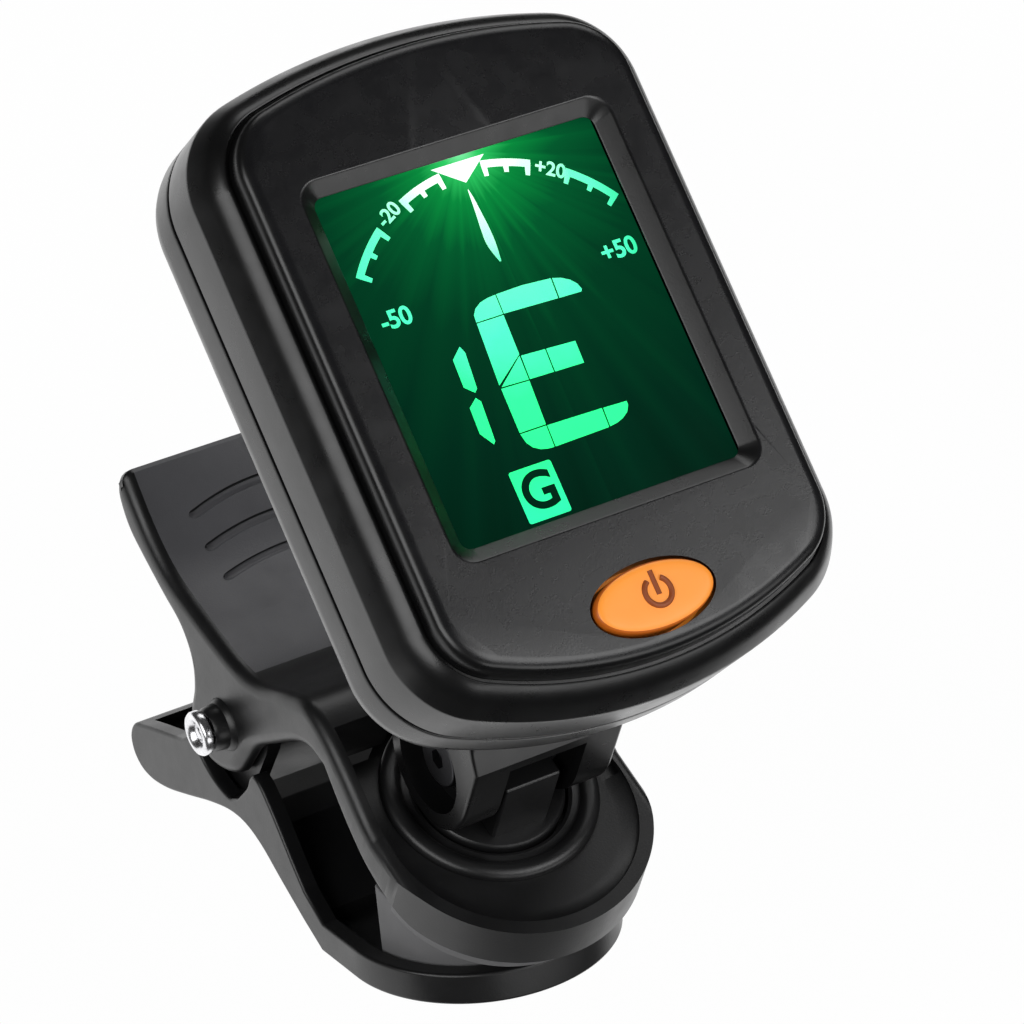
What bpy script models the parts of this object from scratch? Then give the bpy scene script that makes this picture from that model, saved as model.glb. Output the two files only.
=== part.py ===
"""Clip-on instrument tuner: a sprung clip, a swivelling and tilting neck, and a display head.

Lengths are in millimetres in this file and become metres in the mesh helpers.
Two frames are used. The clip frame has Z along the swivel axis, Y from the jaws towards the
handles and its zero on top of the jaw disc. The head frame has Z out of the display and Y up
the display, with its zero in the middle of the display window.
"""

import math

import bmesh
import bpy
from mathutils import Matrix, Vector

MM = 0.001
GAP = 0.3
SEGMENTS = 48
LEAST_TURN = 14

# Clip frame to world: the grip face of the upper pad is the world origin.
GRIP_Y = -7.5
GRIP_Z = -7.35

# Clip arms.
ARM_HALF_WIDTH = 12.1
ARM_WALL = 1.4
DISC_CENTRE_Y = -3.0
DISC_RADIUS = 12.1
DISC_BOTTOM = -4.2
DISH_RADIUS = 10.9
DISH_FLOOR = -0.8
PIN_Y = 20.8
PIN_Z = -11.2
PIN_RADIUS = 1.2
PIN_HOLE = 1.5
PIN_REACH = 14.1
PIN_HEAD_RADIUS = 1.97
PIN_HEAD_THICK = 0.9
BOSS_RADIUS = 1.8
BOSS_REACH = 13.8
BOSS_UNDER_RADIUS = 10.3
NOTCH_RADIUS = 7.6
SEAT_FLOOR = -3.1

# Lower jaw plane: it rises towards the tip.
JAW_ANGLE = math.radians(29.1)
JAW_ORIGIN = (3.3, -16.1)
JAW_CENTRE = 6.2
JAW_RIM = -0.6
JAW_BOTTOM = -3.5

# Swivel.
COLLAR_INNER = 6.6
COLLAR_CREST = 8.4
COLLAR_OUTER = 9.2
TURNTABLE_RADIUS = 6.3
TURNTABLE_FLANGE = 7.7

# Tilt hinge.
HINGE_Y = 0.4
HINGE_Z = 6.3
LUG_RADIUS = 5.9
LUG_REACH = 7.1
LUG_INNER = 3.65
LUG_RECESS_RADIUS = 4.4
LUG_RECESS_DEPTH = 2.2
POST_HALF_WIDTH = 2.65
POST_RADIUS = 5.1
AXLE_RADIUS = 1.5
AXLE_HOLE = 1.8

# Head.
HEAD_TILT = math.radians(22.5)
HEAD_Y = 10.39
HEAD_Z = 45.97
HEAD_HALF_WIDTH = 20.05
HEAD_TOP = 26.8
HEAD_BOTTOM = -29.6
HEAD_TOP_RADIUS = 56.0
HEAD_BOTTOM_RADIUS = 38.0
HEAD_CORNER = 7.8
FACE = 0.9
CEILING = -1.6
PARTING_FRONT = -8.85
PARTING_REAR = -9.15
REAR_FLOOR = -13.2
REAR_BACK = -14.8
SHELL_WALL = 1.5
WINDOW_HALF = (12.6, 14.7)
BEZEL_HALF = (13.9, 16.0)
LENS_HALF = (13.6, 15.7)
BUTTON_Y = -23.1
BUTTON_HALF = (5.6, 2.8)
BOSS_POINTS = ((-15.5, 17.7), (15.5, 17.7), (-15.5, -20.5), (15.5, -20.5))
CELL_Y = 8.0
CELL_RADIUS = 10.0
DOOR_RADIUS = 10.9

PARTS = None
CUTTERS = None


def clear_scene():
    for obj in list(bpy.data.objects):
        bpy.data.objects.remove(obj)


def new_collection(name, hidden):
    collection = bpy.data.collections.new(name)
    bpy.context.scene.collection.children.link(collection)
    collection.hide_render = hidden
    return collection


def material(name, colour, roughness, metallic=0.0):
    made = bpy.data.materials.new(name)
    made.use_nodes = True
    shader = made.node_tree.nodes["Principled BSDF"]
    shader.inputs["Base Color"].default_value = (*colour, 1.0)
    shader.inputs["Roughness"].default_value = roughness
    shader.inputs["Metallic"].default_value = metallic
    return made


def from_bmesh(name, mesh_data, collection):
    mesh = bpy.data.meshes.new(name)
    bmesh.ops.recalc_face_normals(mesh_data, faces=mesh_data.faces)
    mesh_data.to_mesh(mesh)
    mesh_data.free()
    obj = bpy.data.objects.new(name, mesh)
    collection.objects.link(obj)
    if collection is CUTTERS:
        obj.hide_render = True
        obj.display_type = "WIRE"
    return obj


def box(name, low, high, collection=None):
    """A box between two corners given in millimetres."""
    data = bmesh.new()
    bmesh.ops.create_cube(data, size=1.0)
    size = Vector(high) - Vector(low)
    middle = (Vector(high) + Vector(low)) / 2
    bmesh.ops.scale(data, vec=size * MM, verts=data.verts)
    bmesh.ops.translate(data, vec=middle * MM, verts=data.verts)
    return from_bmesh(name, data, collection or PARTS)


def extruded(name, outline, low, high, to_space, collection=None):
    """An outline of (a, b) points carried from low to high; to_space(a, b, c) gives each point."""
    data = bmesh.new()
    bottom = [data.verts.new(Vector(to_space(a, b, low)) * MM) for a, b in outline]
    face = data.faces.new(bottom)
    swept = bmesh.ops.extrude_face_region(data, geom=[face])
    moved = [item for item in swept["geom"] if isinstance(item, bmesh.types.BMVert)]
    shift = Vector(to_space(0, 0, high)) - Vector(to_space(0, 0, low))
    bmesh.ops.translate(data, vec=shift * MM, verts=moved)
    return from_bmesh(name, data, collection or PARTS)


def across(a, b, c):
    """Side profile (y, z) carried along X."""
    return (c, a, b)


def upward(a, b, c):
    """Plan outline (x, y) carried along Z."""
    return (a, b, c)


def on_jaw(a, b, c):
    """Outline (x, distance towards the jaw tip) carried along the lower jaw's normal."""
    y = JAW_ORIGIN[0] - b * math.cos(JAW_ANGLE) + c * math.sin(JAW_ANGLE)
    z = JAW_ORIGIN[1] + b * math.sin(JAW_ANGLE) + c * math.cos(JAW_ANGLE)
    return (a, y, z)


def jaw_point(distance, height):
    return on_jaw(0, distance, height)[1:]


def arc(centre, radius, start, end, steps):
    """Points along an arc, angles in degrees."""
    points = []
    for index in range(steps + 1):
        angle = math.radians(start + (end - start) * index / steps)
        points.append((centre[0] + radius * math.cos(angle), centre[1] + radius * math.sin(angle)))
    return points


def circle(centre, radius, steps=SEGMENTS):
    return arc(centre, radius, 0, 360 * (steps - 1) / steps, steps - 1)


def ellipse(centre, half, steps=SEGMENTS):
    points = circle((0, 0), 1.0, steps)
    return [(centre[0] + x * half[0], centre[1] + y * half[1]) for x, y in points]


def rounded(points, radius, steps=None):
    """The outline with each corner replaced by an arc; a corner that hardly turns is left alone."""
    count = len(points)
    made = []
    for index, corner in enumerate(points):
        here = Vector(corner)
        back = Vector(points[index - 1]) - here
        ahead = Vector(points[(index + 1) % count]) - here
        turn = 180 - math.degrees(back.angle(ahead))
        if turn < LEAST_TURN:
            made.append(tuple(here))
            continue
        half_angle = math.radians(180 - turn) / 2
        reach = min(radius / math.tan(half_angle), back.length * 0.42, ahead.length * 0.42)
        first = here + back.normalized() * reach
        last = here + ahead.normalized() * reach
        count_here = steps or max(2, round(turn / 20))
        for step in range(count_here + 1):
            t = step / count_here
            point = first * (1 - t) ** 2 + here * 2 * t * (1 - t) + last * t**2
            made.append(tuple(point))
    return made


def rectangle(half_x, half_y, centre=(0, 0)):
    x, y = centre
    return [(x - half_x, y - half_y), (x + half_x, y - half_y), (x + half_x, y + half_y), (x - half_x, y + half_y)]


def rounded_rectangle(half, radius, centre=(0, 0)):
    return rounded(rectangle(half[0], half[1], centre), radius, 5)


def turned(name, profile, collection=None, steps=SEGMENTS):
    """A profile of (radius, z) points that runs down its outer side, spun about Z."""
    data = bmesh.new()
    verts = [data.verts.new(Vector((radius, 0, height)) * MM) for radius, height in profile]
    for first, second in zip(verts, verts[1:]):
        data.edges.new((first, second))
    obj = from_bmesh(name, data, collection or PARTS)
    screw = obj.modifiers.new("spin", "SCREW")
    screw.steps = steps
    screw.render_steps = steps
    screw.use_merge_vertices = True
    screw.merge_threshold = 0.00001
    screw.use_smooth_shade = False
    bpy.context.view_layer.update()
    return realised(obj)


def closed_turned(name, profile, collection=None, steps=SEGMENTS):
    """A ring: the profile is closed on itself before it is spun."""
    return turned(name, [*profile, profile[0]], collection, steps)


def realised(obj):
    """The object with its modifiers applied, so that it can be cut or joined again."""
    graph = bpy.context.evaluated_depsgraph_get()
    mesh = bpy.data.meshes.new_from_object(obj.evaluated_get(graph))
    obj.modifiers.clear()
    obj.data = mesh
    tidy = bmesh.new()
    tidy.from_mesh(mesh)
    bmesh.ops.remove_doubles(tidy, verts=tidy.verts, dist=0.000001)
    bmesh.ops.recalc_face_normals(tidy, faces=tidy.faces)
    tidy.to_mesh(mesh)
    tidy.free()
    return obj


def boolean(target, other, operation):
    change = target.modifiers.new(operation.lower(), "BOOLEAN")
    change.operation = operation
    change.solver = "EXACT"
    change.object = other
    bpy.context.view_layer.update()
    realised(target)
    bpy.data.objects.remove(other)
    return target


def cut(target, *others):
    for other in others:
        boolean(target, realised(other), "DIFFERENCE")
    return target


def join(target, *others):
    for other in others:
        boolean(target, realised(other), "UNION")
    return target


def bevelled(obj, width, segments=2, angle=40):
    bevel = obj.modifiers.new("edges", "BEVEL")
    bevel.width = width * MM
    bevel.segments = segments
    bevel.limit_method = "ANGLE"
    bevel.angle_limit = math.radians(angle)
    bpy.context.view_layer.update()
    return realised(obj)


def moved(obj, shift):
    obj.data.transform(Matrix.Translation(Vector(shift) * MM))
    return obj


def turned_to(obj, axis, angle):
    obj.data.transform(Matrix.Rotation(math.radians(angle), 4, axis))
    return obj


def cylinder(name, radius, low, high, centre, axis="Z", collection=None, steps=SEGMENTS):
    """A cylinder between two heights along an axis; centre holds the other two coordinates."""
    if axis == "Z":
        return extruded(name, circle(centre, radius, steps), low, high, upward, collection)
    return extruded(name, circle(centre, radius, steps), low, high, across, collection)


def cutter(maker, *args, **kwargs):
    return maker("cutter", *args, collection=CUTTERS, **kwargs)


def empty(name, parent, location, tilt=0.0):
    made = bpy.data.objects.new(name, None)
    made.empty_display_size = 0.005
    made.parent = parent
    made.location = Vector(location) * MM
    made.rotation_euler = (tilt, 0, 0)
    PARTS.objects.link(made)
    return made


def finish(obj, parent, shift, look, smooth=True):
    """Moves the mesh so that its own zero is at shift, hangs it on parent and gives its material."""
    obj.data.transform(Matrix.Translation(Vector(shift) * -MM))
    obj.parent = parent
    obj.data.materials.clear()
    obj.data.materials.append(look)
    if smooth:
        obj.data.shade_smooth()
        obj.data.set_sharp_from_angle(angle=math.radians(35))
    return obj


# ---------------------------------------------------------------- clip arms


def plan_of_jaw(centre):
    """Plan outline of an arm: straight sides with a half-round end; the tip is towards larger b."""
    tip = arc((0, centre), ARM_HALF_WIDTH, 0, 180, 32)
    return [(ARM_HALF_WIDTH, -60), *tip, (-ARM_HALF_WIDTH, -60)]


def upper_arm_profile():
    """Side outline of the upper arm, from the jaw tip along the top and back underneath."""
    tip = [(-18, DISC_BOTTOM), (-18, 0), (-1.2, 0)]
    top = [(0.75, 0.6), (4.5, 2.0), (8.3, 3.1), (11.4, 3.0), (14.3, 0.8), (18.4, -2.7), (21.5, -3.9)]
    handle = [(28.4, -4.9), (33.0, -5.15), (36.6, -4.35), (39.9, -2.9), (42.6, -1.5)]
    end = [(43.0, -3.8), (41.6, -5.5), (39.6, -6.8), (36.9, -7.5), (33.0, -8.2), (29.6, -8.7), (27.4, -10.2)]
    back = [(26.5, -12.6), (26.4, -14.8)]
    lobe = rounded([(24.9, -17.4), (22.2, -18.0), (19.9, -17.0), (18.0, -15.0), (17.3, -12.5)], 1.5)
    front = [(16.6, -9.8), (14.3, -6.3), (10.6, -1.7), (9.0, -0.5), (7.2, -0.5)]
    under = [(5.0, -1.7), (2.4, -2.9), (-0.5, -3.9), (-2.5, DISC_BOTTOM)]
    return tip + rounded([*top, *handle, *end], 1.6) + back + lobe + front + under


def upper_arm():
    reach = ARM_HALF_WIDTH + 2
    arm = extruded("upper_arm", upper_arm_profile(), -reach, reach, across)
    plan = [(x, -b) for x, b in plan_of_jaw(-DISC_CENTRE_Y)]
    boolean(arm, cutter(extruded, plan, -40, 40, upward), "INTERSECT")
    bevelled(arm, 1.1, 3, 50)
    inner = ARM_HALF_WIDTH - ARM_WALL
    # The underside is open between the side plates, with a deck left under the top surface.
    below_web = [(8.2, -9.0), (8.2, -2.5), (9.0, 1.3), (10.8, 1.3), (13.4, -0.8), (17.6, -4.5), (21.3, -5.6)]
    below_handle = [(28.4, -6.5), (33.0, -6.8), (36.2, -6.1), (39.2, -4.8), (40.6, -6.4), (40.6, -20.0), (8.2, -20.0)]
    cut(arm, cutter(extruded, below_web + below_handle, -inner, inner, across))
    join(arm, cylinder("boss", BOSS_UNDER_RADIUS, DISC_BOTTOM + 0.1, DISH_FLOOR - 0.5, (0, 0)))
    # The dish and the sunken floor behind it.
    dish = [(0, 5.0), (DISH_RADIUS, 5.0), (DISH_RADIUS, -0.35), (9.8, DISH_FLOOR), (0, DISH_FLOOR)]
    cut(arm, moved(turned("cutter", dish, CUTTERS), (0, DISC_CENTRE_Y, 0)))
    sunken = [(DISC_CENTRE_Y, 5.0), (DISC_CENTRE_Y, DISH_FLOOR + 0.02), (7.6, DISH_FLOOR + 0.02), (8.5, 0.2), (8.6, 5.0)]
    cut(arm, cutter(extruded, sunken, -DISH_RADIUS + 0.05, DISH_RADIUS - 0.05, across))
    # Seat for the collar and turntable, and the bore for the swivel stem.
    cut(arm, cutter(cylinder, COLLAR_OUTER - 0.2, SEAT_FLOOR, 1.0, (0, 0)))
    cut(arm, cutter(cylinder, COLLAR_OUTER + 0.4, DISH_FLOOR, 6.0, (0, 0)))
    cut(arm, cutter(cylinder, 2.8, -6.0, 0.0, (0, 0), steps=32))
    for side in (-1, 1):
        low, high = side * (ARM_HALF_WIDTH - 1.0), side * BOSS_REACH
        join(arm, cylinder("boss", BOSS_RADIUS + 0.3, low, high, (PIN_Y, PIN_Z), "X", steps=32))
    cut(arm, cutter(cylinder, PIN_HOLE, -20, 20, (PIN_Y, PIN_Z), "X", steps=32))
    for apex, height in ((39.0, -2.95), (35.4, -4.45), (32.0, -4.85)):
        cut(arm, finger_groove(apex, height))
    return arm


def finger_groove(apex, height):
    """A curved round-ended groove across the handle."""
    bend = 23.4
    reach = math.degrees(math.asin(7.7 / bend))
    path = arc((0, apex - bend), bend, 90 + reach, 90 - reach, 14)
    drop = 0.30 if apex > 36 else 0.06
    curve = bpy.data.curves.new("cutter", "CURVE")
    curve.dimensions = "3D"
    curve.bevel_depth = 0.62 * MM
    curve.bevel_resolution = 2
    curve.use_fill_caps = True
    spline = curve.splines.new("POLY")
    spline.points.add(len(path) - 1)
    for point, (x, y) in zip(spline.points, path):
        lift = height + 0.12 - drop * (apex - y)
        point.co = (x * MM, y * MM, lift * MM, 1.0)
    return curve_to_mesh(curve, CUTTERS)


def curve_to_mesh(curve, collection):
    guide = bpy.data.objects.new("guide", curve)
    collection.objects.link(guide)
    bpy.context.view_layer.update()
    graph = bpy.context.evaluated_depsgraph_get()
    mesh = bpy.data.meshes.new_from_object(guide.evaluated_get(graph))
    bpy.data.objects.remove(guide)
    data = bmesh.new()
    data.from_mesh(mesh)
    bmesh.ops.remove_doubles(data, verts=data.verts, dist=0.000001)
    return from_bmesh(curve.name, data, collection)


def lower_arm_profile():
    """Side outline of the lower arm, from the jaw tip along the rim and back underneath."""
    tip = [jaw_point(21, JAW_BOTTOM), jaw_point(21, JAW_RIM)]
    rim = [jaw_point(1.0, JAW_RIM), (5.4, -15.7), (8.1, -14.5), (12.2, -12.6), (15.0, -11.8), (15.9, -12.3), (16.0, -14.2)]
    rim.append((17.0, -17.0))
    notch = arc((PIN_Y, PIN_Z), NOTCH_RADIUS, -113, -58, 8)
    handle = [(26.2, -19.9), (33.1, -26.2), (33.5, -28.2), (32.5, -29.6), (30.9, -30.1), (29.2, -29.6)]
    under = [(26.75, -28.0), (23.8, -25.3), (20.2, -21.9), (17.25, -19.5), (14.9, -18.4), (12.4, -18.0), (8.7, -18.4)]
    return tip + rim + notch + rounded(handle + under, 1.2) + [(4.6, -18.8), jaw_point(0.4, JAW_BOTTOM)]


def jaw_outline(radius, back):
    return [(radius, back), *arc((0, JAW_CENTRE), radius, 0, 180, 28), (-radius, back)]


def lower_arm():
    reach = ARM_HALF_WIDTH + 2
    arm = extruded("lower_arm", lower_arm_profile(), -reach, reach, across)
    boolean(arm, cutter(extruded, plan_of_jaw(JAW_CENTRE), -50, 50, on_jaw), "INTERSECT")
    bevelled(arm, 0.6, 2, 50)
    inner = ARM_HALF_WIDTH - ARM_WALL
    trough = [jaw_point(0.6, JAW_BOTTOM + 1.55), (8.0, -16.9), (12.6, -16.5), (15.3, -16.9), (18.2, -18.4), (21.4, -20.8)]
    handle = [(25.2, -24.4), (29.8, -28.2), (31.5, -28.0), (32.2, -27.0), (32.2, -5.0), (0.0, -5.0)]
    cut(arm, cutter(extruded, trough + handle, -inner, inner, across))
    cut(arm, cutter(extruded, jaw_outline(inner - 0.02, -1.0), JAW_BOTTOM + 1.5, 8.0, on_jaw))
    for side in (-1, 1):
        ear = [(17.6, -19.4), (22.0, -22.0), (25.0, -24.6), *arc((PIN_Y, PIN_Z), 4.1, -10, 190, 12)]
        join(arm, extruded("ear", ear, side * 8.9, side * 10.2, across))
    cut(arm, cutter(cylinder, PIN_HOLE, -20, 20, (PIN_Y, PIN_Z), "X", steps=32))
    return arm


def pad_outline(radius, centre, back):
    """A half-moon with a straight back edge; the tip is towards larger distances."""
    start = math.degrees(math.asin((back - centre) / radius))
    return rounded(arc((0, centre), radius, start, 180 - start, 24), 0.9, 2)


def jaw_pads(looks, root, jaw):
    upper = [(x, -distance) for x, distance in pad_outline(10.4, -DISC_CENTRE_Y, 3.6)]
    pad = extruded("upper_jaw_pad", upper, GRIP_Z, DISC_BOTTOM - GAP, upward)
    bevelled(pad, 0.7, 3, 50)
    finish(pad, root, (0, 0, 0), looks["rubber"])
    lower = extruded("lower_jaw_pad", pad_outline(10.3, JAW_CENTRE, 7.6), JAW_BOTTOM + 1.4 + GAP, 9.0, on_jaw)
    cut(lower, cutter(box, (-20, -30, GRIP_Z - GAP), (20, 30, 20)))
    bevelled(lower, 0.9, 3, 40)
    finish(lower, jaw, (0, PIN_Y, PIN_Z), looks["rubber"])


def pivot(looks, root):
    shank = cylinder("pivot_pin", PIN_RADIUS, -PIN_REACH, PIN_REACH - 0.6, (PIN_Y, PIN_Z), "X", steps=32)
    rim = PIN_HEAD_RADIUS
    head = [(0, 0.62), (0.45, 0.62), (0.6, 0.35), (0.95, 0.35), (1.1, 0.8), (rim - 0.25, 0.9), (rim, 0.65), (rim, 0), (0, 0)]
    for name, side in (("pivot_pin", -1), ("pin_retainer", 1)):
        button = (turned("head", head, steps=32))
        turned_to(button, "Y", 90 * side)
        moved(button, (side * PIN_REACH, PIN_Y, PIN_Z))
        if name == "pivot_pin":
            join(shank, button)
        else:
            button.name = name
            neck = cylinder("neck", 1.65, PIN_REACH - 0.02, PIN_REACH + 0.3, (PIN_Y, PIN_Z), "X", steps=32)
            join(button, neck)
            finish(button, root, (0, PIN_Y, PIN_Z), looks["chrome"])
    finish(shank, root, (0, PIN_Y, PIN_Z), looks["chrome"])


def torsion_spring(looks, root):
    """Coil round the pivot pin with one leg under each handle."""
    wire = 0.42
    mean = 2.7
    turns = 5
    points = [(-4.6, 29.5, -7.7)]
    steps = 14
    first = 115.0
    total = turns * 360 - 185
    for index in range(turns * steps + 1):
        share = index / (turns * steps)
        angle = math.radians(first - total * share)
        points.append((-4.6 + 9.2 * share, PIN_Y + mean * math.cos(angle), PIN_Z + mean * math.sin(angle)))
    points.append((4.6, 27.6, -24.3))
    curve = bpy.data.curves.new("torsion_spring", "CURVE")
    curve.dimensions = "3D"
    curve.bevel_depth = wire * MM
    curve.bevel_resolution = 2
    curve.use_fill_caps = True
    spline = curve.splines.new("POLY")
    spline.points.add(len(points) - 1)
    for target, point in zip(spline.points, points):
        target.co = (*(Vector(point) * MM), 1.0)
    finish(curve_to_mesh(curve, PARTS), root, (0, PIN_Y, PIN_Z), looks["steel"])


# ---------------------------------------------------------------- swivel and tilt hinge


def swivel(looks, root, turn):
    inner, crest, outer = COLLAR_INNER, COLLAR_CREST, COLLAR_OUTER
    bead = [(inner, -0.35), (7.45, -0.5)]
    bead += [(crest + 0.85 * math.cos(math.radians(a)), -0.55 + 0.7 * math.sin(math.radians(a))) for a in range(165, -1, -27)]
    seat = [(outer - 0.5, DISH_FLOOR), (outer - 0.5, -2.9), (TURNTABLE_FLANGE + 0.3, -2.9), (TURNTABLE_FLANGE + 0.3, -1.35), (inner, -1.35)]
    collar = closed_turned("swivel_collar", bead + seat)
    finish(realised(collar), root, (0, 0, 0), looks["black"])
    table = [(0, 0), (5.9, 0), (TURNTABLE_RADIUS, -0.35), (TURNTABLE_RADIUS, -1.65), (TURNTABLE_FLANGE, -1.65)]
    table += [(TURNTABLE_FLANGE, -2.8), (2.5, -2.8), (2.5, -4.0), (0, -4.0)]
    base = (turned("swivel_base", table))
    foot = rounded([(-4.75, -0.5), (5.5, -0.5), (5.5, HINGE_Z), (-4.75, HINGE_Z)], 0.1)
    join(base, extruded("foot", foot, -POST_HALF_WIDTH, POST_HALF_WIDTH, across))
    barrel = arc((HINGE_Y, HINGE_Z), POST_RADIUS, 0, 115, 14) + [(-1.76, HINGE_Z - 0.4), (HINGE_Y, 3.0), (5.0, 3.0)]
    join(base, extruded("barrel", barrel, -POST_HALF_WIDTH, POST_HALF_WIDTH, across))
    cut(base, cutter(cylinder, AXLE_HOLE, -5, 5, (HINGE_Y, HINGE_Z), "X", steps=32))
    cut(base, cutter(cylinder, 1.2, -6.0, -1.4, (0, 0), steps=24))
    finish(base, turn, (0, 0, 0), looks["black"])
    washer = closed_turned("swivel_washer", [(1.3, -4.5), (3.0, -4.5), (3.0, -4.85), (1.3, -4.85)], steps=32)
    finish(realised(washer), turn, (0, 0, 0), looks["steel"])
    screw = [(0, -1.7), (0.9, -1.7), (0.9, -5.15), (2.0, -5.15), (2.0, -5.8), (1.6, -6.1), (0, -6.1)]
    screw = (turned("swivel_screw", screw, steps=24))
    for low, high in (((-1.2, -0.2, -7.0), (1.2, 0.2, -5.7)), ((-0.2, -1.2, -7.0), (0.2, 1.2, -5.7))):
        cut(screw, cutter(box, low, high))
    finish(screw, turn, (0, 0, 0), looks["steel"])


def hinge_hardware(looks, tilt):
    centre = (HINGE_Y, HINGE_Z)
    for name, side in (("hinge_washer_left", -1), ("hinge_washer_right", 1)):
        washer = cylinder(name, 3.3, side * 2.95, side * 3.35, centre, "X", steps=32)
        cut(washer, cutter(cylinder, AXLE_HOLE, -5, 5, centre, "X", steps=32))
        finish(washer, tilt, (0, *centre), looks["steel"])
    seat = LUG_REACH - LUG_RECESS_DEPTH + GAP
    axle = cylinder("hinge_axle", AXLE_RADIUS, -seat - 0.2, seat + 0.9, centre, "X", steps=32)
    head = cylinder("head", 2.5, -seat - 1.0, -seat, centre, "X", steps=32)
    join(axle, bevelled(head, 0.25, 2))
    socket = extruded("cutter", circle(centre, 0.9, 6), -seat - 2, -seat - 0.4, across, CUTTERS)
    cut(axle, socket)
    finish(axle, tilt, (0, *centre), looks["dark_steel"])
    nut = extruded("hinge_nut", circle(centre, 2.8, 6), seat, seat + 1.2, across)
    cut(nut, cutter(cylinder, AXLE_HOLE, 0, 10, centre, "X", steps=32))
    finish(nut, tilt, (0, *centre), looks["dark_steel"])


# ---------------------------------------------------------------- head


def head_outline(inset):
    """Outline of the head, drawn in from its widest by inset."""
    radius = HEAD_CORNER - inset
    half = HEAD_HALF_WIDTH - HEAD_CORNER
    points = []
    for turn, end, bend in ((0, HEAD_TOP, HEAD_TOP_RADIUS), (180, HEAD_BOTTOM, HEAD_BOTTOM_RADIUS)):
        sign = 1 if turn == 0 else -1
        middle = end - sign * bend
        lean = math.degrees(math.asin(half / (bend - HEAD_CORNER)))
        corner = middle + sign * (bend - HEAD_CORNER) * math.cos(math.radians(lean))
        points += arc((sign * half, corner), radius, turn, turn + 90 - lean, 8)
        points += arc((0, middle), bend - inset, turn + 90 - lean, turn + 90 + lean, 12)[1:-1]
        points += arc((-sign * half, corner), radius, turn + 90 + lean, turn + 180, 8)
    return points


def lofted(name, rings, collection=None):
    """A closed solid through head outlines, each ring an (inset, height) pair from the bottom up."""
    data = bmesh.new()
    loops = []
    for inset, height in rings:
        loops.append([data.verts.new(Vector((x, y, height)) * MM) for x, y in head_outline(inset)])
    count = len(loops[0])
    for lower, upper in zip(loops, loops[1:]):
        for index in range(count):
            after = (index + 1) % count
            data.faces.new((lower[index], lower[after], upper[after], upper[index]))
    data.faces.new(list(reversed(loops[0])))
    data.faces.new(loops[-1])
    return from_bmesh(name, data, collection or PARTS)


def bezel_cutter():
    """The sloped window recess: wide at the face, narrow at the glass."""
    data = bmesh.new()
    levels = ((WINDOW_HALF, 0.8, -5.0), (WINDOW_HALF, 0.8, -0.1), (BEZEL_HALF, 1.7, FACE), (BEZEL_HALF, 1.7, FACE + 2))
    loops = []
    for half, radius, height in levels:
        outline = rounded_rectangle(half, radius)
        loops.append([data.verts.new(Vector((x, y, height)) * MM) for x, y in outline])
    for lower, upper in zip(loops, loops[1:]):
        for index in range(len(lower)):
            after = (index + 1) % len(lower)
            data.faces.new((lower[index], lower[after], upper[after], upper[index]))
    data.faces.new(list(reversed(loops[0])))
    data.faces.new(loops[-1])
    return from_bmesh("cutter", data, CUTTERS)


def front_shell():
    wall = [(0.0, PARTING_FRONT), (0.0, -4.35), (0.31, -3.5), (0.82, -2.4), (1.55, -1.45), (2.0, -1.05)]
    step = [(2.1, -1.35), (2.45, -1.35), (2.52, -0.2), (2.7, 0.35), (2.95, 0.68), (3.7, FACE)]
    shell = lofted("front_shell", wall + step)
    cut(shell, lofted("cutter", [(SHELL_WALL, PARTING_FRONT - 1), (SHELL_WALL, -3.6), (2.8, CEILING)], CUTTERS))
    for centre in BOSS_POINTS:
        join(shell, cylinder("boss", 2.0, PARTING_FRONT, CEILING + 0.2, centre, steps=24))
        cut(shell, cutter(cylinder, 1.0, PARTING_FRONT - 1, CEILING - 0.6, centre, steps=16))
    cut(shell, bezel_cutter())
    cut(shell, extruded("cutter", rounded_rectangle((LENS_HALF[0] + 0.3, LENS_HALF[1] + 0.3), 1.2), -5.0, -0.2, upward, CUTTERS))
    cut(shell, extruded("cutter", ellipse((0, BUTTON_Y), (BUTTON_HALF[0] + 0.3, BUTTON_HALF[1] + 0.3)), -5, 5, upward, CUTTERS))
    return shell


def neck_profile():
    """Side outline of the neck in the clip frame: lug, leaning front and the run into the shell."""
    low = arc((HINGE_Y, HINGE_Z), LUG_RADIUS, 180, 360, 20)
    back = [(HINGE_Y + LUG_RADIUS, 31.0)]
    front = [(-3.4, 27.0), (-3.4, 14.4), (HINGE_Y - LUG_RADIUS, 11.6)]
    return low + back + front


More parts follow.
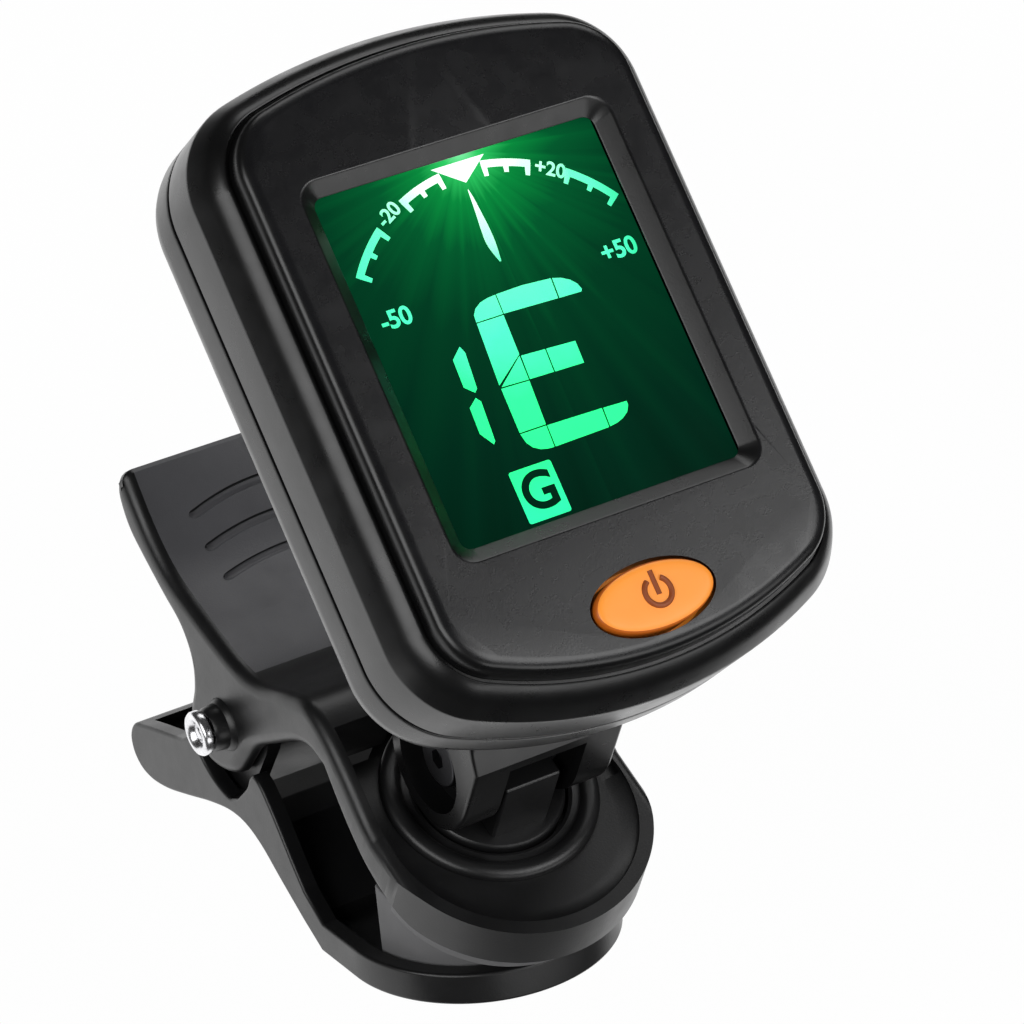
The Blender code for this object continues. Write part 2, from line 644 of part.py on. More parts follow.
def rear_shell():
    rings = [(2.6, REAR_BACK), (1.3, REAR_BACK + 0.35), (0.45, REAR_BACK + 1.3), (0.1, REAR_BACK + 2.6), (0.0, PARTING_REAR)]
    shell = lofted("rear_shell", rings)
    neck = extruded("neck", neck_profile(), -LUG_REACH, LUG_REACH, across)
    bevelled(neck, 0.35, 2, 50)
    neck.data.transform(Matrix.Rotation(-HEAD_TILT, 4, "X") @ Matrix.Translation(Vector((0, -HEAD_Y, -HEAD_Z)) * MM))
    join(shell, neck)
    cut(shell, lofted("cutter", [(SHELL_WALL + 0.9, REAR_FLOOR), (SHELL_WALL, REAR_FLOOR + 1.0), (SHELL_WALL, PARTING_REAR + 2)], CUTTERS))
    for centre in BOSS_POINTS:
        join(shell, cylinder("post", 2.7, REAR_FLOOR - 0.3, PARTING_REAR, centre, steps=24))
        cut(shell, cutter(cylinder, 1.2, REAR_BACK - 1, PARTING_REAR + 1, centre, steps=16))
        cut(shell, cutter(cylinder, 2.0, REAR_BACK - 1, REAR_BACK + 2.0, centre, steps=24))
    well = extruded("well", circle((0, CELL_Y), DOOR_RADIUS + 1.5), REAR_FLOOR - 0.3, PARTING_REAR, upward)
    join(shell, well)
    cut(shell, cutter(cylinder, DOOR_RADIUS + GAP, REAR_BACK - 1, -6.0, (0, CELL_Y)))
    cut(shell, cutter(box, (-3.6, CELL_Y + 9.5, -11.8), (3.6, CELL_Y + 14.0, -6.0)))
    # Slot for the swivel post, bore for the axle and the round recess in each lug.
    to_head = Matrix.Rotation(-HEAD_TILT, 4, "X") @ Matrix.Translation(Vector((0, -HEAD_Y, -HEAD_Z)) * MM)
    slot = [(-9, -2), (9, -2), (9, 10.6), (6.5, 12.3), (-2.0, 12.3), (-9, 9.0)]
    tools = [cutter(extruded, slot, -LUG_INNER, LUG_INNER, across)]
    tools.append(cutter(cylinder, AXLE_HOLE, -9, 9, (HINGE_Y, HINGE_Z), "X", steps=32))
    for side in (-1, 1):
        low, high = side * (LUG_REACH - LUG_RECESS_DEPTH), side * 9
        tools.append(cutter(cylinder, LUG_RECESS_RADIUS, low, high, (HINGE_Y, HINGE_Z), "X", steps=40))
    for tool in tools:
        tool.data.transform(to_head)
        cut(shell, tool)
    return shell


def head_shells(looks, head):
    finish(front_shell(), head, (0, 0, 0), looks["black"])
    finish(rear_shell(), head, (0, 0, 0), looks["black"])
    for number, centre in enumerate(BOSS_POINTS, 1):
        top, seat, low = -3.4, REAR_BACK + 1.7, REAR_BACK + 0.5
        profile = [(0, top), (0.7, top - 0.3), (0.7, seat), (1.65, seat), (1.65, low + 0.3), (1.35, low), (0, low)]
        screw = turned(f"case_screw_{number}", profile, steps=20)
        cut(screw, cutter(box, (-1.0, -0.18, low - 1), (1.0, 0.18, low + 0.45)))
        cut(screw, cutter(box, (-0.18, -1.0, low - 1), (0.18, 1.0, low + 0.45)))
        moved(screw, (*centre, 0))
        finish(screw, head, (0, 0, 0), looks["steel"])


def display(looks, head):
    lens = extruded("display_window", rounded_rectangle(LENS_HALF, 1.0), -1.3, -0.45, upward)
    finish(lens, head, (0, 0, 0), looks["window"], False)
    panel = box("lcd_panel", (-13.4, -17.4, -3.0), (13.4, 15.6, -1.9))
    finish(panel, head, (0, 0, 0), looks["lcd"], False)
    guide = box("backlight_guide", (-12.9, -14.9, -4.6), (12.9, 15.3, -3.3))
    cut(guide, cutter(box, (-1.9, 14.4, -6), (1.9, 16, -2)))
    finish(guide, head, (0, 0, 0), looks["diffuser"], False)
    led = box("backlight_led", (-1.5, 14.7, -5.0), (1.5, 15.9, -3.5))
    finish(led, head, (0, 0, 0), looks["white"], False)
    strip = box("zebra_connector", (-10.5, -17.1, -5.0), (10.5, -15.3, -3.3))
    finish(strip, head, (0, 0, 0), looks["rubber"], False)


def electronics(looks, head):
    board_outline = rounded(rectangle(12.6, 23.4, (0, -1.6)), 1.2)
    board = extruded("circuit_board", board_outline, -6.3, -5.3, upward)
    for centre in ((-10.4, 19.6), (10.4, 19.6), (-10.4, -22.6), (10.4, -22.6)):
        cut(board, cutter(cylinder, 0.9, -7, -5, centre, steps=16))
    finish(board, head, (0, 0, 0), looks["board"], False)
    chip = bevelled(box("tuner_chip", (-8.5, -12.5, -7.5), (-1.5, -5.5, -6.6)), 0.12, 1)
    finish(chip, head, (0, 0, 0), looks["chip"], False)
    can = extruded("crystal_can", rounded_rectangle((3.6, 1.2), 1.1, (5.6, -9.0)), -8.0, -6.6, upward)
    finish(can, head, (0, 0, 0), looks["steel"])
    switch = box("tact_switch", (-2.4, BUTTON_Y - 1.1, -5.0), (2.4, BUTTON_Y + 3.0, -3.7))
    cut(switch, cutter(cylinder, 1.05, -4.7, -3.0, (0, BUTTON_Y), steps=24))
    finish(switch, head, (0, 0, 0), looks["steel"], False)
    sensor = closed_turned("piezo_sensor", [(0.4, -12.3), (6.0, -12.3), (6.0, -12.7), (0.4, -12.7)])
    finish(moved(realised(sensor), (0, -17.0, 0)), head, (0, 0, 0), looks["brass"])


def battery(looks, head, door):
    rim = CELL_RADIUS
    profile = [(0, -8.5), (8.6, -8.5), (8.9, -8.7), (rim - 0.3, -8.7), (rim, -9.0)]
    profile += [(rim, -11.4), (rim - 0.3, -11.7), (0, -11.7)]
    cell = moved(turned("coin_cell", profile), (0, CELL_Y, 0))
    finish(cell, head, (0, 0, 0), looks["cell"])
    leaf = [(1.0, -6.6), (1.0, -6.85), (2.4, -6.85), (5.4, -8.2), (7.4, -8.2), (9.2, -6.85), (10.5, -6.85)]
    leaf += [(10.5, -6.6), (9.1, -6.6), (7.3, -7.95), (5.5, -7.95), (2.5, -6.6)]
    negative = extruded("battery_contact_negative", leaf, -2.0, 2.0, across)
    finish(negative, head, (0, 0, 0), looks["contact"], False)
    wall_y = CELL_Y + CELL_RADIUS + 0.35
    clip = [(wall_y, -11.4), (wall_y, -6.6), (wall_y + 2.4, -6.6), (wall_y + 2.4, -6.9)]
    clip += [(wall_y + 0.35, -6.9), (wall_y + 0.35, -11.4)]
    positive = extruded("battery_contact_positive", clip, -3.0, 3.0, across)
    finish(positive, head, (0, 0, 0), looks["contact"], False)
    top, ledge = REAR_BACK + 2.2, REAR_BACK + 1.4
    cover = [(0, top), (9.4, top), (9.4, ledge), (DOOR_RADIUS, ledge), (DOOR_RADIUS, REAR_BACK + 0.25)]
    cover += [(DOOR_RADIUS - 0.25, REAR_BACK), (0, REAR_BACK)]
    lid = moved(turned("battery_door", cover), (0, CELL_Y, 0))
    slot = rounded_rectangle((5.2, 0.8), 0.75, (0, CELL_Y))
    cut(lid, extruded("cutter", slot, REAR_BACK - 1, REAR_BACK + 0.8, upward, CUTTERS))
    finish(lid, door, (0, CELL_Y, 0), looks["black"])


def button(looks, press):
    centre = (0, BUTTON_Y)
    cap = extruded("power_button", ellipse(centre, BUTTON_HALF), -2.0, 1.65, upward)
    bevelled(cap, 0.35, 3, 50)
    join(cap, extruded("flange", ellipse(centre, (6.6, 3.8)), -2.7, -1.9, upward))
    join(cap, cylinder("stem", 1.2, -3.1, -2.5, centre, steps=24))
    finish(cap, press, (*centre, 0), looks["orange"])
    plunger = cylinder("switch_plunger", 0.75, -4.2, -3.4, centre, steps=24)
    finish(plunger, press, (*centre, 0), looks["chip"])


def all_looks():
    return {
        "black": material("black_plastic", (0.018, 0.018, 0.02), 0.42),
        "rubber": material("pad_rubber", (0.05, 0.05, 0.055), 0.8),
        "chrome": material("chrome", (0.85, 0.86, 0.88), 0.12, 1.0),
        "steel": material("spring_steel", (0.55, 0.56, 0.58), 0.3, 1.0),
        "dark_steel": material("dark_steel", (0.08, 0.08, 0.085), 0.35, 1.0),
        "window": material("window_glass", (0.02, 0.10, 0.07), 0.08),
        "lcd": material("lcd_glass", (0.01, 0.12, 0.07), 0.2),
        "diffuser": material("diffuser", (0.85, 0.9, 0.86), 0.5),
        "white": material("led_white", (0.9, 0.9, 0.85), 0.4),
        "board": material("board_green", (0.02, 0.16, 0.07), 0.5),
        "chip": material("chip_black", (0.02, 0.02, 0.022), 0.5),
        "brass": material("sensor_brass", (0.75, 0.58, 0.28), 0.35, 1.0),
        "cell": material("cell_steel", (0.62, 0.63, 0.65), 0.25, 1.0),
        "contact": material("contact_nickel", (0.7, 0.68, 0.62), 0.3, 1.0),
        "orange": material("button_orange", (0.93, 0.33, 0.05), 0.4),
    }


def main():
    global PARTS, CUTTERS
    clear_scene()
    PARTS = new_collection("clip_on_tuner", False)
    CUTTERS = new_collection("cutters", True)
    looks = all_looks()
    root = empty("clip_frame", None, (0, -GRIP_Y, -GRIP_Z))
    jaw = empty("clip_pivot_axis", root, (0, PIN_Y, PIN_Z))
    turn = empty("swivel_axis", root, (0, 0, 0))
    tilt = empty("tilt_axis", turn, (0, HINGE_Y, HINGE_Z))
    head = empty("head_frame", tilt, (0, HEAD_Y - HINGE_Y, HEAD_Z - HINGE_Z), HEAD_TILT)
    press = empty("button_axis", head, (0, BUTTON_Y, 0))
    door = empty("door_axis", head, (0, CELL_Y, 0))
    finish(upper_arm(), root, (0, 0, 0), looks["black"])
    finish(lower_arm(), jaw, (0, PIN_Y, PIN_Z), looks["black"])
    jaw_pads(looks, root, jaw)
    pin_frame = empty("pin_frame", root, (0, PIN_Y, PIN_Z))
    pivot(looks, pin_frame)
    torsion_spring(looks, pin_frame)
    swivel(looks, root, turn)
    hinge_hardware(looks, tilt)
    head_shells(looks, head)
    display(looks, head)
    electronics(looks, head)
    battery(looks, head, door)
    button(looks, press)


main()
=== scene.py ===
"""Looks for the clip-on tuner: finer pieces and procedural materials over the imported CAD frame.

Lengths are in millimetres and become metres when a piece is finished. The clip frame has Z along the
swivel axis, Y from the jaws to the handles and its zero on the jaw disc. The head frame has Z out
of the display, Y up the display and its zero in the middle of the window.
"""

import math

import bmesh
import bpy
from mathutils import Matrix, Vector


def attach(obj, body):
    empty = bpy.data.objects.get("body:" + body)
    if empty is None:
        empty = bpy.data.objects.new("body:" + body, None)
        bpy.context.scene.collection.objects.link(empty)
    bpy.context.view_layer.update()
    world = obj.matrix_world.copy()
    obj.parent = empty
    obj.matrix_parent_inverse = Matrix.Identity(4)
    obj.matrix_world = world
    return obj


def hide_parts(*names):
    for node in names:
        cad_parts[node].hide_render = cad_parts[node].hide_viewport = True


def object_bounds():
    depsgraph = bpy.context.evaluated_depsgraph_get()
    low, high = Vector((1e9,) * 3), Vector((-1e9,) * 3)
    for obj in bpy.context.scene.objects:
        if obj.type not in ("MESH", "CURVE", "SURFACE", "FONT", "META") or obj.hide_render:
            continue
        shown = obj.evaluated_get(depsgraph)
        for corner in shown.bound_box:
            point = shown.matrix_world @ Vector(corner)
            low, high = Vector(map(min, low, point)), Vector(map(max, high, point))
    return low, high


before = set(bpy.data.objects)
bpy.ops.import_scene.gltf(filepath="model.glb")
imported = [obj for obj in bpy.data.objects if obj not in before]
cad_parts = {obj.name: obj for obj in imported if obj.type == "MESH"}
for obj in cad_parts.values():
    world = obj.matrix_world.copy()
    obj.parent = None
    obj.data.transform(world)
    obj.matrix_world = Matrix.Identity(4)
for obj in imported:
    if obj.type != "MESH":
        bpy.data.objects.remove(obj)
cad_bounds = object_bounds()

MM = 0.001
HEAD_TILT = math.radians(22.5)
TO_METRES = Matrix.Scale(MM, 4)
CLIP = Matrix.Translation((0, 0.0075, 0.00735))
HEAD = Matrix.Translation((0, 0.01789, 0.05332)) @ Matrix.Rotation(HEAD_TILT, 4, "X")

# Clip frame: (Y, Z) of the pivot pin and of the head's hinge, and their holes.
PIN = (20.8, -11.2)
PIN_HOLE = 1.5
PIN_FACE = 14.1
PIN_HEAD_RADIUS = 1.97
HINGE = (0.4, 6.3)
HINGE_HOLE = 1.8
HINGE_SEAT = 5.2
FOOT_HALF = 2.65
LUG_HALF = 7.1
LUG_RADIUS = 5.9
LUG_RECESS = 4.4
LUG_GAP = 3.65

# Clip arms: half widths outside and inside, jaw disc, and the lower jaw's own slanted plane.
ARM_HALF = 12.1
ARM_INNER = 10.7
ARM_EDGE = 1.2
DISC_Y = -3.0
JAW_ANGLE = math.radians(29.1)
JAW_ORIGIN = (3.3, -16.1)
JAW_CENTRE = 6.2
CUP_RADIUS = 10.68
GROOVE_APEXES = (38.4, 35.3, 32.0)
GROOVE_BEND = 23.4
GROOVE_HALF = 7.7
GROOVE_RADIUS = 0.46
SPRING_HALF = 4.6
SPRING_RADIUS = 2.7
SPRING_TURNS = 5
SPRING_WIRE = 0.42

# Head frame: heights of the face, the parting line and the back, and the case screws.
FACE = 0.9
PARTING_FRONT = -8.85
PARTING_REAR = -9.15
BACK = -14.8
BEYOND_BACK = -15.8
CAVITY_INSET = 1.5
CORNER_RADIUS = 7.8
CORNER_X = 12.25
BUTTON_Y = -22.85
BUTTON_HALF = (5.25, 2.62)
BUTTON_GAP = 0.3
STEM_Y = -23.1
CELL_Y = 8.0
BOSS_POINTS = ((-15.5, 17.7), (15.5, 17.7), (-15.5, -20.5), (15.5, -20.5))
ART = -1.84
ART_THICK = 0.03

# A length that reaches past anything it cuts.
FAR = 20


# ---------------------------------------------------------------- materials


class Nodes:
    """Short way to build a node tree for one material."""

    def __init__(self, name):
        self.material = bpy.data.materials.new(name)
        self.material.use_nodes = True
        self.tree = self.material.node_tree
        self.shader = self.tree.nodes["Principled BSDF"]
        self.coords = self.tree.nodes.new("ShaderNodeTexCoord").outputs["Object"]

    def link(self, source, target):
        self.tree.links.new(source, target)

    def noise(self, scale, detail=2.0, roughness=0.5):
        node = self.tree.nodes.new("ShaderNodeTexNoise")
        node.inputs["Scale"].default_value = scale
        node.inputs["Detail"].default_value = detail
        node.inputs["Roughness"].default_value = roughness
        self.link(self.coords, node.inputs["Vector"])
        return node.outputs["Fac"]

    def ramp(self, source, stops):
        node = self.tree.nodes.new("ShaderNodeValToRGB")
        elements = node.color_ramp.elements
        while len(elements) < len(stops):
            elements.new(0.5)
        for element, (position, colour) in zip(elements, stops):
            element.position = position
            shade = colour if isinstance(colour, tuple) else (colour,) * 3
            element.color = (*shade, 1.0)
        self.link(source, node.inputs["Fac"])
        return node.outputs["Color"]

    def math(self, operation, first, second=None, third=None):
        node = self.tree.nodes.new("ShaderNodeMath")
        node.operation = operation
        for socket, value in zip(node.inputs, (first, second, third)):
            if value is None:
                continue
            if isinstance(value, (int, float)):
                socket.default_value = value
            else:
                self.link(value, socket)
        return node.outputs[0]

    def bump(self, height, strength, distance):
        node = self.tree.nodes.new("ShaderNodeBump")
        node.inputs["Strength"].default_value = strength
        node.inputs["Distance"].default_value = distance
        self.link(height, node.inputs["Height"])
        return node.outputs["Normal"]

    def set(self, **values):
        for name, value in values.items():
            self.shader.inputs[name.replace("_", " ")].default_value = value


def plastic(name, dark, light, rough, grain, grain_scale, painted_glow=0.0):
    """Moulded plastic: faint tone changes, fine grain, uneven gloss and, when painted_glow is given, a
    painted glow in its own colour.
    """
    made = Nodes(name)
    tone = made.noise(160.0, 3.0, 0.55)
    colour = made.ramp(tone, [(0.3, dark), (0.7, light)])
    made.link(colour, made.shader.inputs["Base Color"])
    # Painted glow: the plastic gives off its own colour as emission, though it is no lamp.
    if painted_glow:
        made.link(colour, made.shader.inputs["Emission Color"])
        made.set(Emission_Strength=painted_glow)
    gloss = made.noise(420.0, 4.0, 0.6)
    made.link(made.ramp(gloss, [(0.25, rough - 0.04), (0.75, rough + 0.05)]),
              made.shader.inputs["Roughness"])
    fine = made.noise(grain_scale, 2.0, 0.6)
    made.link(made.bump(fine, grain, 0.00004), made.shader.inputs["Normal"])
    made.set(IOR=1.5)
    return made.material


def metal(name, colour, rough, scratches, scale):
    """Bare metal with faint stains and scratches."""
    made = Nodes(name)
    tone = made.noise(scale, 4.0, 0.7)
    dark = tuple(value * 0.8 for value in colour)
    made.link(made.ramp(tone, [(0.3, dark), (0.7, colour)]), made.shader.inputs["Base Color"])
    made.link(made.ramp(tone, [(0.3, rough + 0.08), (0.75, rough)]), made.shader.inputs["Roughness"])
    made.link(made.bump(made.noise(scale * 3, 3.0, 0.7), scratches, 0.00002),
              made.shader.inputs["Normal"])
    made.set(Metallic=1.0)
    return made.material


def distance_from(made, x, y):
    """Distance in millimetres from a point of the display, with its X and Y parts."""
    mapping = made.tree.nodes.new("ShaderNodeMapping")
    mapping.vector_type = "TEXTURE"
    mapping.inputs["Location"].default_value = HEAD.to_translation()
    mapping.inputs["Rotation"].default_value = (HEAD_TILT, 0, 0)
    made.link(made.coords, mapping.inputs["Vector"])
    split = made.tree.nodes.new("ShaderNodeSeparateXYZ")
    made.link(mapping.outputs["Vector"], split.inputs[0])
    dx = made.math("MULTIPLY_ADD", split.outputs["X"], 1 / MM, -x)
    dy = made.math("MULTIPLY_ADD", split.outputs["Y"], 1 / MM, -y)
    squares = made.math("ADD", made.math("MULTIPLY", dx, dx), made.math("MULTIPLY", dy, dy))
    return made.math("SQRT", squares), dx, dy


def display_green():
    """Backlit display: dark green, with a bright spot at its top and faint rays out of it."""
    made = Nodes("display_green")
    distance, dx, dy = distance_from(made, 1.6, 15.4)
    angle = made.math("ARCTAN2", dx, dy)
    rays = made.tree.nodes.new("ShaderNodeTexNoise")
    rays.noise_dimensions = "1D"
    rays.inputs["Scale"].default_value = 9.0
    rays.inputs["Detail"].default_value = 4.0
    made.link(angle, rays.inputs["W"])
    spread = made.math("MULTIPLY_ADD", rays.outputs["Fac"], -0.55, 1.28)
    reach = made.math("MULTIPLY", distance, spread)
    scaled = made.math("DIVIDE", reach, 34.0)
    stops = [
        (0.0, (0.25, 1.0, 0.45)),
        (0.045, (0.03, 0.66, 0.14)),
        (0.12, (0.003, 0.27, 0.05)),
        (0.24, (0.0012, 0.105, 0.028)),
        (0.42, (0.0008, 0.048, 0.017)),
        (0.75, (0.0006, 0.026, 0.012)),
        (1.0, (0.0005, 0.017, 0.008)),
    ]
    glow = made.ramp(scaled, stops)
    made.link(glow, made.shader.inputs["Emission Color"])
    made.set(Base_Color=(0.0, 0.0, 0.0, 1.0))
    made.set(Emission_Strength=1.0, Roughness=0.5, Specular_IOR_Level=0.0)
    return made.material


def display_light():
    """Lit segments: nearly white by the bright spot, pale green above and vivid green below."""
    made = Nodes("display_segments")
    distance, _, _ = distance_from(made, 1.4, 15.2)
    uneven = made.math("MULTIPLY_ADD", made.noise(260.0, 2.0), 0.12, -0.06)
    scaled = made.math("ADD", made.math("DIVIDE", distance, 30.0), uneven)
    stops = [
        (0.0, (0.93, 1.0, 0.95)),
        (0.14, (0.72, 1.0, 0.82)),
        (0.3, (0.10, 0.90, 0.42)),
        (0.5, (0.045, 0.84, 0.40)),
        (0.66, (0.008, 0.93, 0.23)),
        (0.85, (0.003, 0.90, 0.20)),
        (1.0, (0.004, 0.78, 0.33)),
    ]
    colour = made.ramp(scaled, stops)
    made.link(colour, made.shader.inputs["Emission Color"])
    made.link(colour, made.shader.inputs["Base Color"])
    made.set(Emission_Strength=0.95, Roughness=0.5)
    return made.material


def clear_window():
    """Clear plastic, which shows almost only its shine."""
    made = Nodes("window_clear")
    made.link(made.ramp(made.noise(300.0), [(0.3, 0.10), (0.7, 0.14)]), made.shader.inputs["Roughness"])
    made.set(Base_Color=(0.01, 0.02, 0.015, 1.0), Alpha=0.02, IOR=1.49)
    return made.material


LOOKS = {
    "shell": plastic("abs_black_smooth", (0.0045, 0.0045, 0.0047), (0.006, 0.006, 0.0063),
                     0.29, 0.10, 5200.0),
    "face": plastic("abs_black_grained", (0.006, 0.006, 0.0068), (0.008, 0.008, 0.009),
                    0.27, 0.16, 6500.0),
    "clip": plastic("abs_black_clip", (0.006, 0.006, 0.0063), (0.0085, 0.0085, 0.009),
                    0.36, 0.22, 5600.0),
    # Grained grip: the bump is real grain. The colour, much lighter than the clip's black, is painted light
    # for the lit top.
    "painted_light_grip": plastic("abs_black_painted_light_grip", (0.085, 0.085, 0.092), (0.10, 0.10, 0.108), 0.45, 0.6, 6500.0),
    "inner": plastic("abs_black_inner", (0.005, 0.005, 0.0053), (0.008, 0.008, 0.0085),
                     0.5, 0.2, 4200.0),
    "rubber": plastic("rubber_grey", (0.13, 0.13, 0.133), (0.16, 0.16, 0.164), 0.66, 0.5, 3800.0),
    # The orange gets a painted glow (emission 0.26), though the button is no lamp.
    "orange": plastic("abs_orange", (0.88, 0.285, 0.03), (0.94, 0.315, 0.04), 0.42, 0.12, 5200.0, 0.26),
    # A darker copy of the orange for faces that don't face up: painted shade.
    "orange_painted_shade": plastic("abs_orange_painted_shade", (0.60, 0.13, 0.008), (0.66, 0.15, 0.01),
                           0.42, 0.12, 5200.0),
    "mark": plastic("mark_brown", (0.27, 0.055, 0.006), (0.32, 0.068, 0.008), 0.5, 0.2, 5200.0),
    "chrome": metal("chrome", (0.90, 0.90, 0.92), 0.22, 0.08, 900.0),
    "steel": metal("steel", (0.46, 0.47, 0.49), 0.28, 0.3, 1400.0),
    "dark_steel": metal("steel_black", (0.07, 0.07, 0.075), 0.34, 0.3, 1400.0),
    "brass": metal("brass", (0.72, 0.54, 0.24), 0.3, 0.3, 1200.0),
    "board": plastic("board_green", (0.012, 0.10, 0.035), (0.02, 0.14, 0.05), 0.35, 0.4, 1500.0),
    "white": plastic("diffuser_white", (0.72, 0.76, 0.73), (0.8, 0.84, 0.8), 0.5, 0.2, 2500.0),
    "display": display_green(),
    "segments": display_light(),
    "window": clear_window(),
}


# ---------------------------------------------------------------- outlines


def arc(centre, radius, start, end, steps):
    """Points along an arc, angles in degrees."""
    points = []
    for index in range(steps + 1):
        angle = math.radians(start + (end - start) * index / steps)
        points.append((centre[0] + radius * math.cos(angle), centre[1] + radius * math.sin(angle)))
    return points


def circle(centre, radius, steps=96):
    return arc(centre, radius, 0, 360 * (steps - 1) / steps, steps - 1)


def ellipse(centre, half, steps=128):
    return [(centre[0] + x * half[0], centre[1] + y * half[1]) for x, y in circle((0, 0), 1.0, steps)]


def rounded(points, radius, least_turn=8, step_turn=7):
    """The closed outline with each corner replaced by a smooth arc."""
    count = len(points)
    made = []
    for index, corner in enumerate(points):
        here = Vector(corner)
        back = Vector(points[index - 1]) - here
        ahead = Vector(points[(index + 1) % count]) - here
        turn = 180 - math.degrees(back.angle(ahead))
        if turn < least_turn:
            made.append(tuple(here))
            continue
        half_angle = math.radians(180 - turn) / 2
        reach = min(radius / math.tan(half_angle), back.length * 0.46, ahead.length * 0.46)
        first = here + back.normalized() * reach
        last = here + ahead.normalized() * reach
        steps = max(3, round(turn / step_turn))
        for step in range(steps + 1):
            t = step / steps
            made.append(tuple(first * (1 - t) ** 2 + here * 2 * t * (1 - t) + last * t**2))
    return made


def smooth(points, steps=6):
    """An open path through the points, as a centripetal Catmull-Rom spline."""
    before = Vector(points[0]) * 2 - Vector(points[1])
    after = Vector(points[-1]) * 2 - Vector(points[-2])
    ends = [before, *map(Vector, points), after]
    made = []
    for a, b, c, d in zip(ends, ends[1:], ends[2:], ends[3:]):
        t1 = (b - a).length ** 0.5
        t2 = t1 + (c - b).length ** 0.5
        t3 = t2 + (d - c).length ** 0.5
        for step in range(steps):
            t = t1 + (t2 - t1) * step / steps
            p = a * ((t1 - t) / t1) + b * (t / t1)
            q = b * ((t2 - t) / (t2 - t1)) + c * ((t - t1) / (t2 - t1))
            r = c * ((t3 - t) / (t3 - t2)) + d * ((t - t2) / (t3 - t2))
            s = p * ((t2 - t) / t2) + q * (t / t2)
            u = q * ((t3 - t) / (t3 - t1)) + r * ((t - t1) / (t3 - t1))
            made.append(tuple(s * ((t2 - t) / (t2 - t1)) + u * ((t - t1) / (t2 - t1))))
    made.append(tuple(points[-1]))
    return made


def rectangle(half, centre, radius):
    x, y = centre
    a, b = half
    return rounded([(x - a, y - b), (x + a, y - b), (x + a, y + b), (x - a, y + b)], radius)


def across(a, b, c):
    """An outline drawn in Y and Z, extruded along X."""
    return (c, a, b)


def upward(a, b, c):
    """An outline drawn in X and Y, extruded along Z."""
    return (a, b, c)


def on_jaw(a, b, c):
    """An outline on the lower jaw: b is the distance from its heel, c the height over it."""
    y = JAW_ORIGIN[0] - b * math.cos(JAW_ANGLE) + c * math.sin(JAW_ANGLE)
    z = JAW_ORIGIN[1] + b * math.sin(JAW_ANGLE) + c * math.cos(JAW_ANGLE)
    return (a, y, z)


def jaw_point(distance, height):
    return on_jaw(0, distance, height)[1:]


# ---------------------------------------------------------------- mesh helpers


def to_object(name, data):
    mesh = bpy.data.meshes.new(name)
    bmesh.ops.recalc_face_normals(data, faces=data.faces)
    data.to_mesh(mesh)
    data.free()
    obj = bpy.data.objects.new(name, mesh)
    bpy.context.scene.collection.objects.link(obj)
    return obj


def extruded(name, outline, low, high, to_space=upward):
    data = bmesh.new()
    face = data.faces.new([data.verts.new(to_space(a, b, low)) for a, b in outline])
    swept = bmesh.ops.extrude_face_region(data, geom=[face])
    moved = [item for item in swept["geom"] if isinstance(item, bmesh.types.BMVert)]
    shift = Vector(to_space(0, 0, high)) - Vector(to_space(0, 0, low))
    bmesh.ops.translate(data, vec=shift, verts=moved)
    return to_object(name, data)


def lofted(name, rings, closed=False):
    """A solid through rings of as many points; closed joins the last ring to the first."""
    data = bmesh.new()
    loops = [[data.verts.new(point) for point in ring] for ring in rings]
    pairs = list(zip(loops, loops[1:]))
    if closed:
        pairs.append((loops[-1], loops[0]))
    count = len(loops[0])
    for lower, upper in pairs:
        for index in range(count):
            after = (index + 1) % count
            data.faces.new((lower[index], lower[after], upper[after], upper[index]))
    if not closed:
        caps = [data.faces.new(list(reversed(loops[0]))), data.faces.new(loops[-1])]
        bmesh.ops.triangulate(data, faces=caps)
    return to_object(name, data)


def turned(name, profile, steps=128, closed=False, centre=(0, 0)):
    """A profile of (radius, height) points spun about Z."""
    rings = []
    for radius, height in profile:
        rings.append([(centre[0] + x, centre[1] + y, height) for x, y in circle((0, 0), radius, steps)])
    return lofted(name, rings, closed)


def cylinder(name, radius, low, high, centre, axis="Z", steps=96):
    return extruded(name, circle(centre, radius, steps), low, high, upward if axis == "Z" else across)


def block(name, low, high):
    outline = [(low[0], low[1]), (high[0], low[1]), (high[0], high[1]), (low[0], high[1])]
    return extruded(name, outline, low[2], high[2])


def realised(obj):
    """Bakes the modifiers into the mesh and closes the seams they leave."""
    graph = bpy.context.evaluated_depsgraph_get()
    mesh = bpy.data.meshes.new_from_object(obj.evaluated_get(graph))
    obj.modifiers.clear()
    obj.data = mesh
    tidy = bmesh.new()
    tidy.from_mesh(mesh)
    bmesh.ops.remove_doubles(tidy, verts=tidy.verts, dist=0.001)
    bmesh.ops.recalc_face_normals(tidy, faces=tidy.faces)
    tidy.to_mesh(mesh)
    tidy.free()
    return obj


def boolean(target, other, operation):
    change = target.modifiers.new("change", "BOOLEAN")
    change.operation = operation
    change.solver = "EXACT"
    change.object = other
    bpy.context.view_layer.update()
    realised(target)
    bpy.data.objects.remove(other)
    return target


def cut(target, *others):
    for other in others:
        boolean(target, other, "DIFFERENCE")
    return target


def join(target, *others):
    for other in others:
        boolean(target, other, "UNION")
    return target


def bevelled(obj, width, segments=3, angle=40):
    bevel = obj.modifiers.new("edges", "BEVEL")
    bevel.width = width
    bevel.segments = segments
    bevel.limit_method = "ANGLE"
    bevel.angle_limit = math.radians(angle)
    bpy.context.view_layer.update()
    return realised(obj)


def transformed(obj, matrix):
    obj.data.transform(matrix)
    return obj


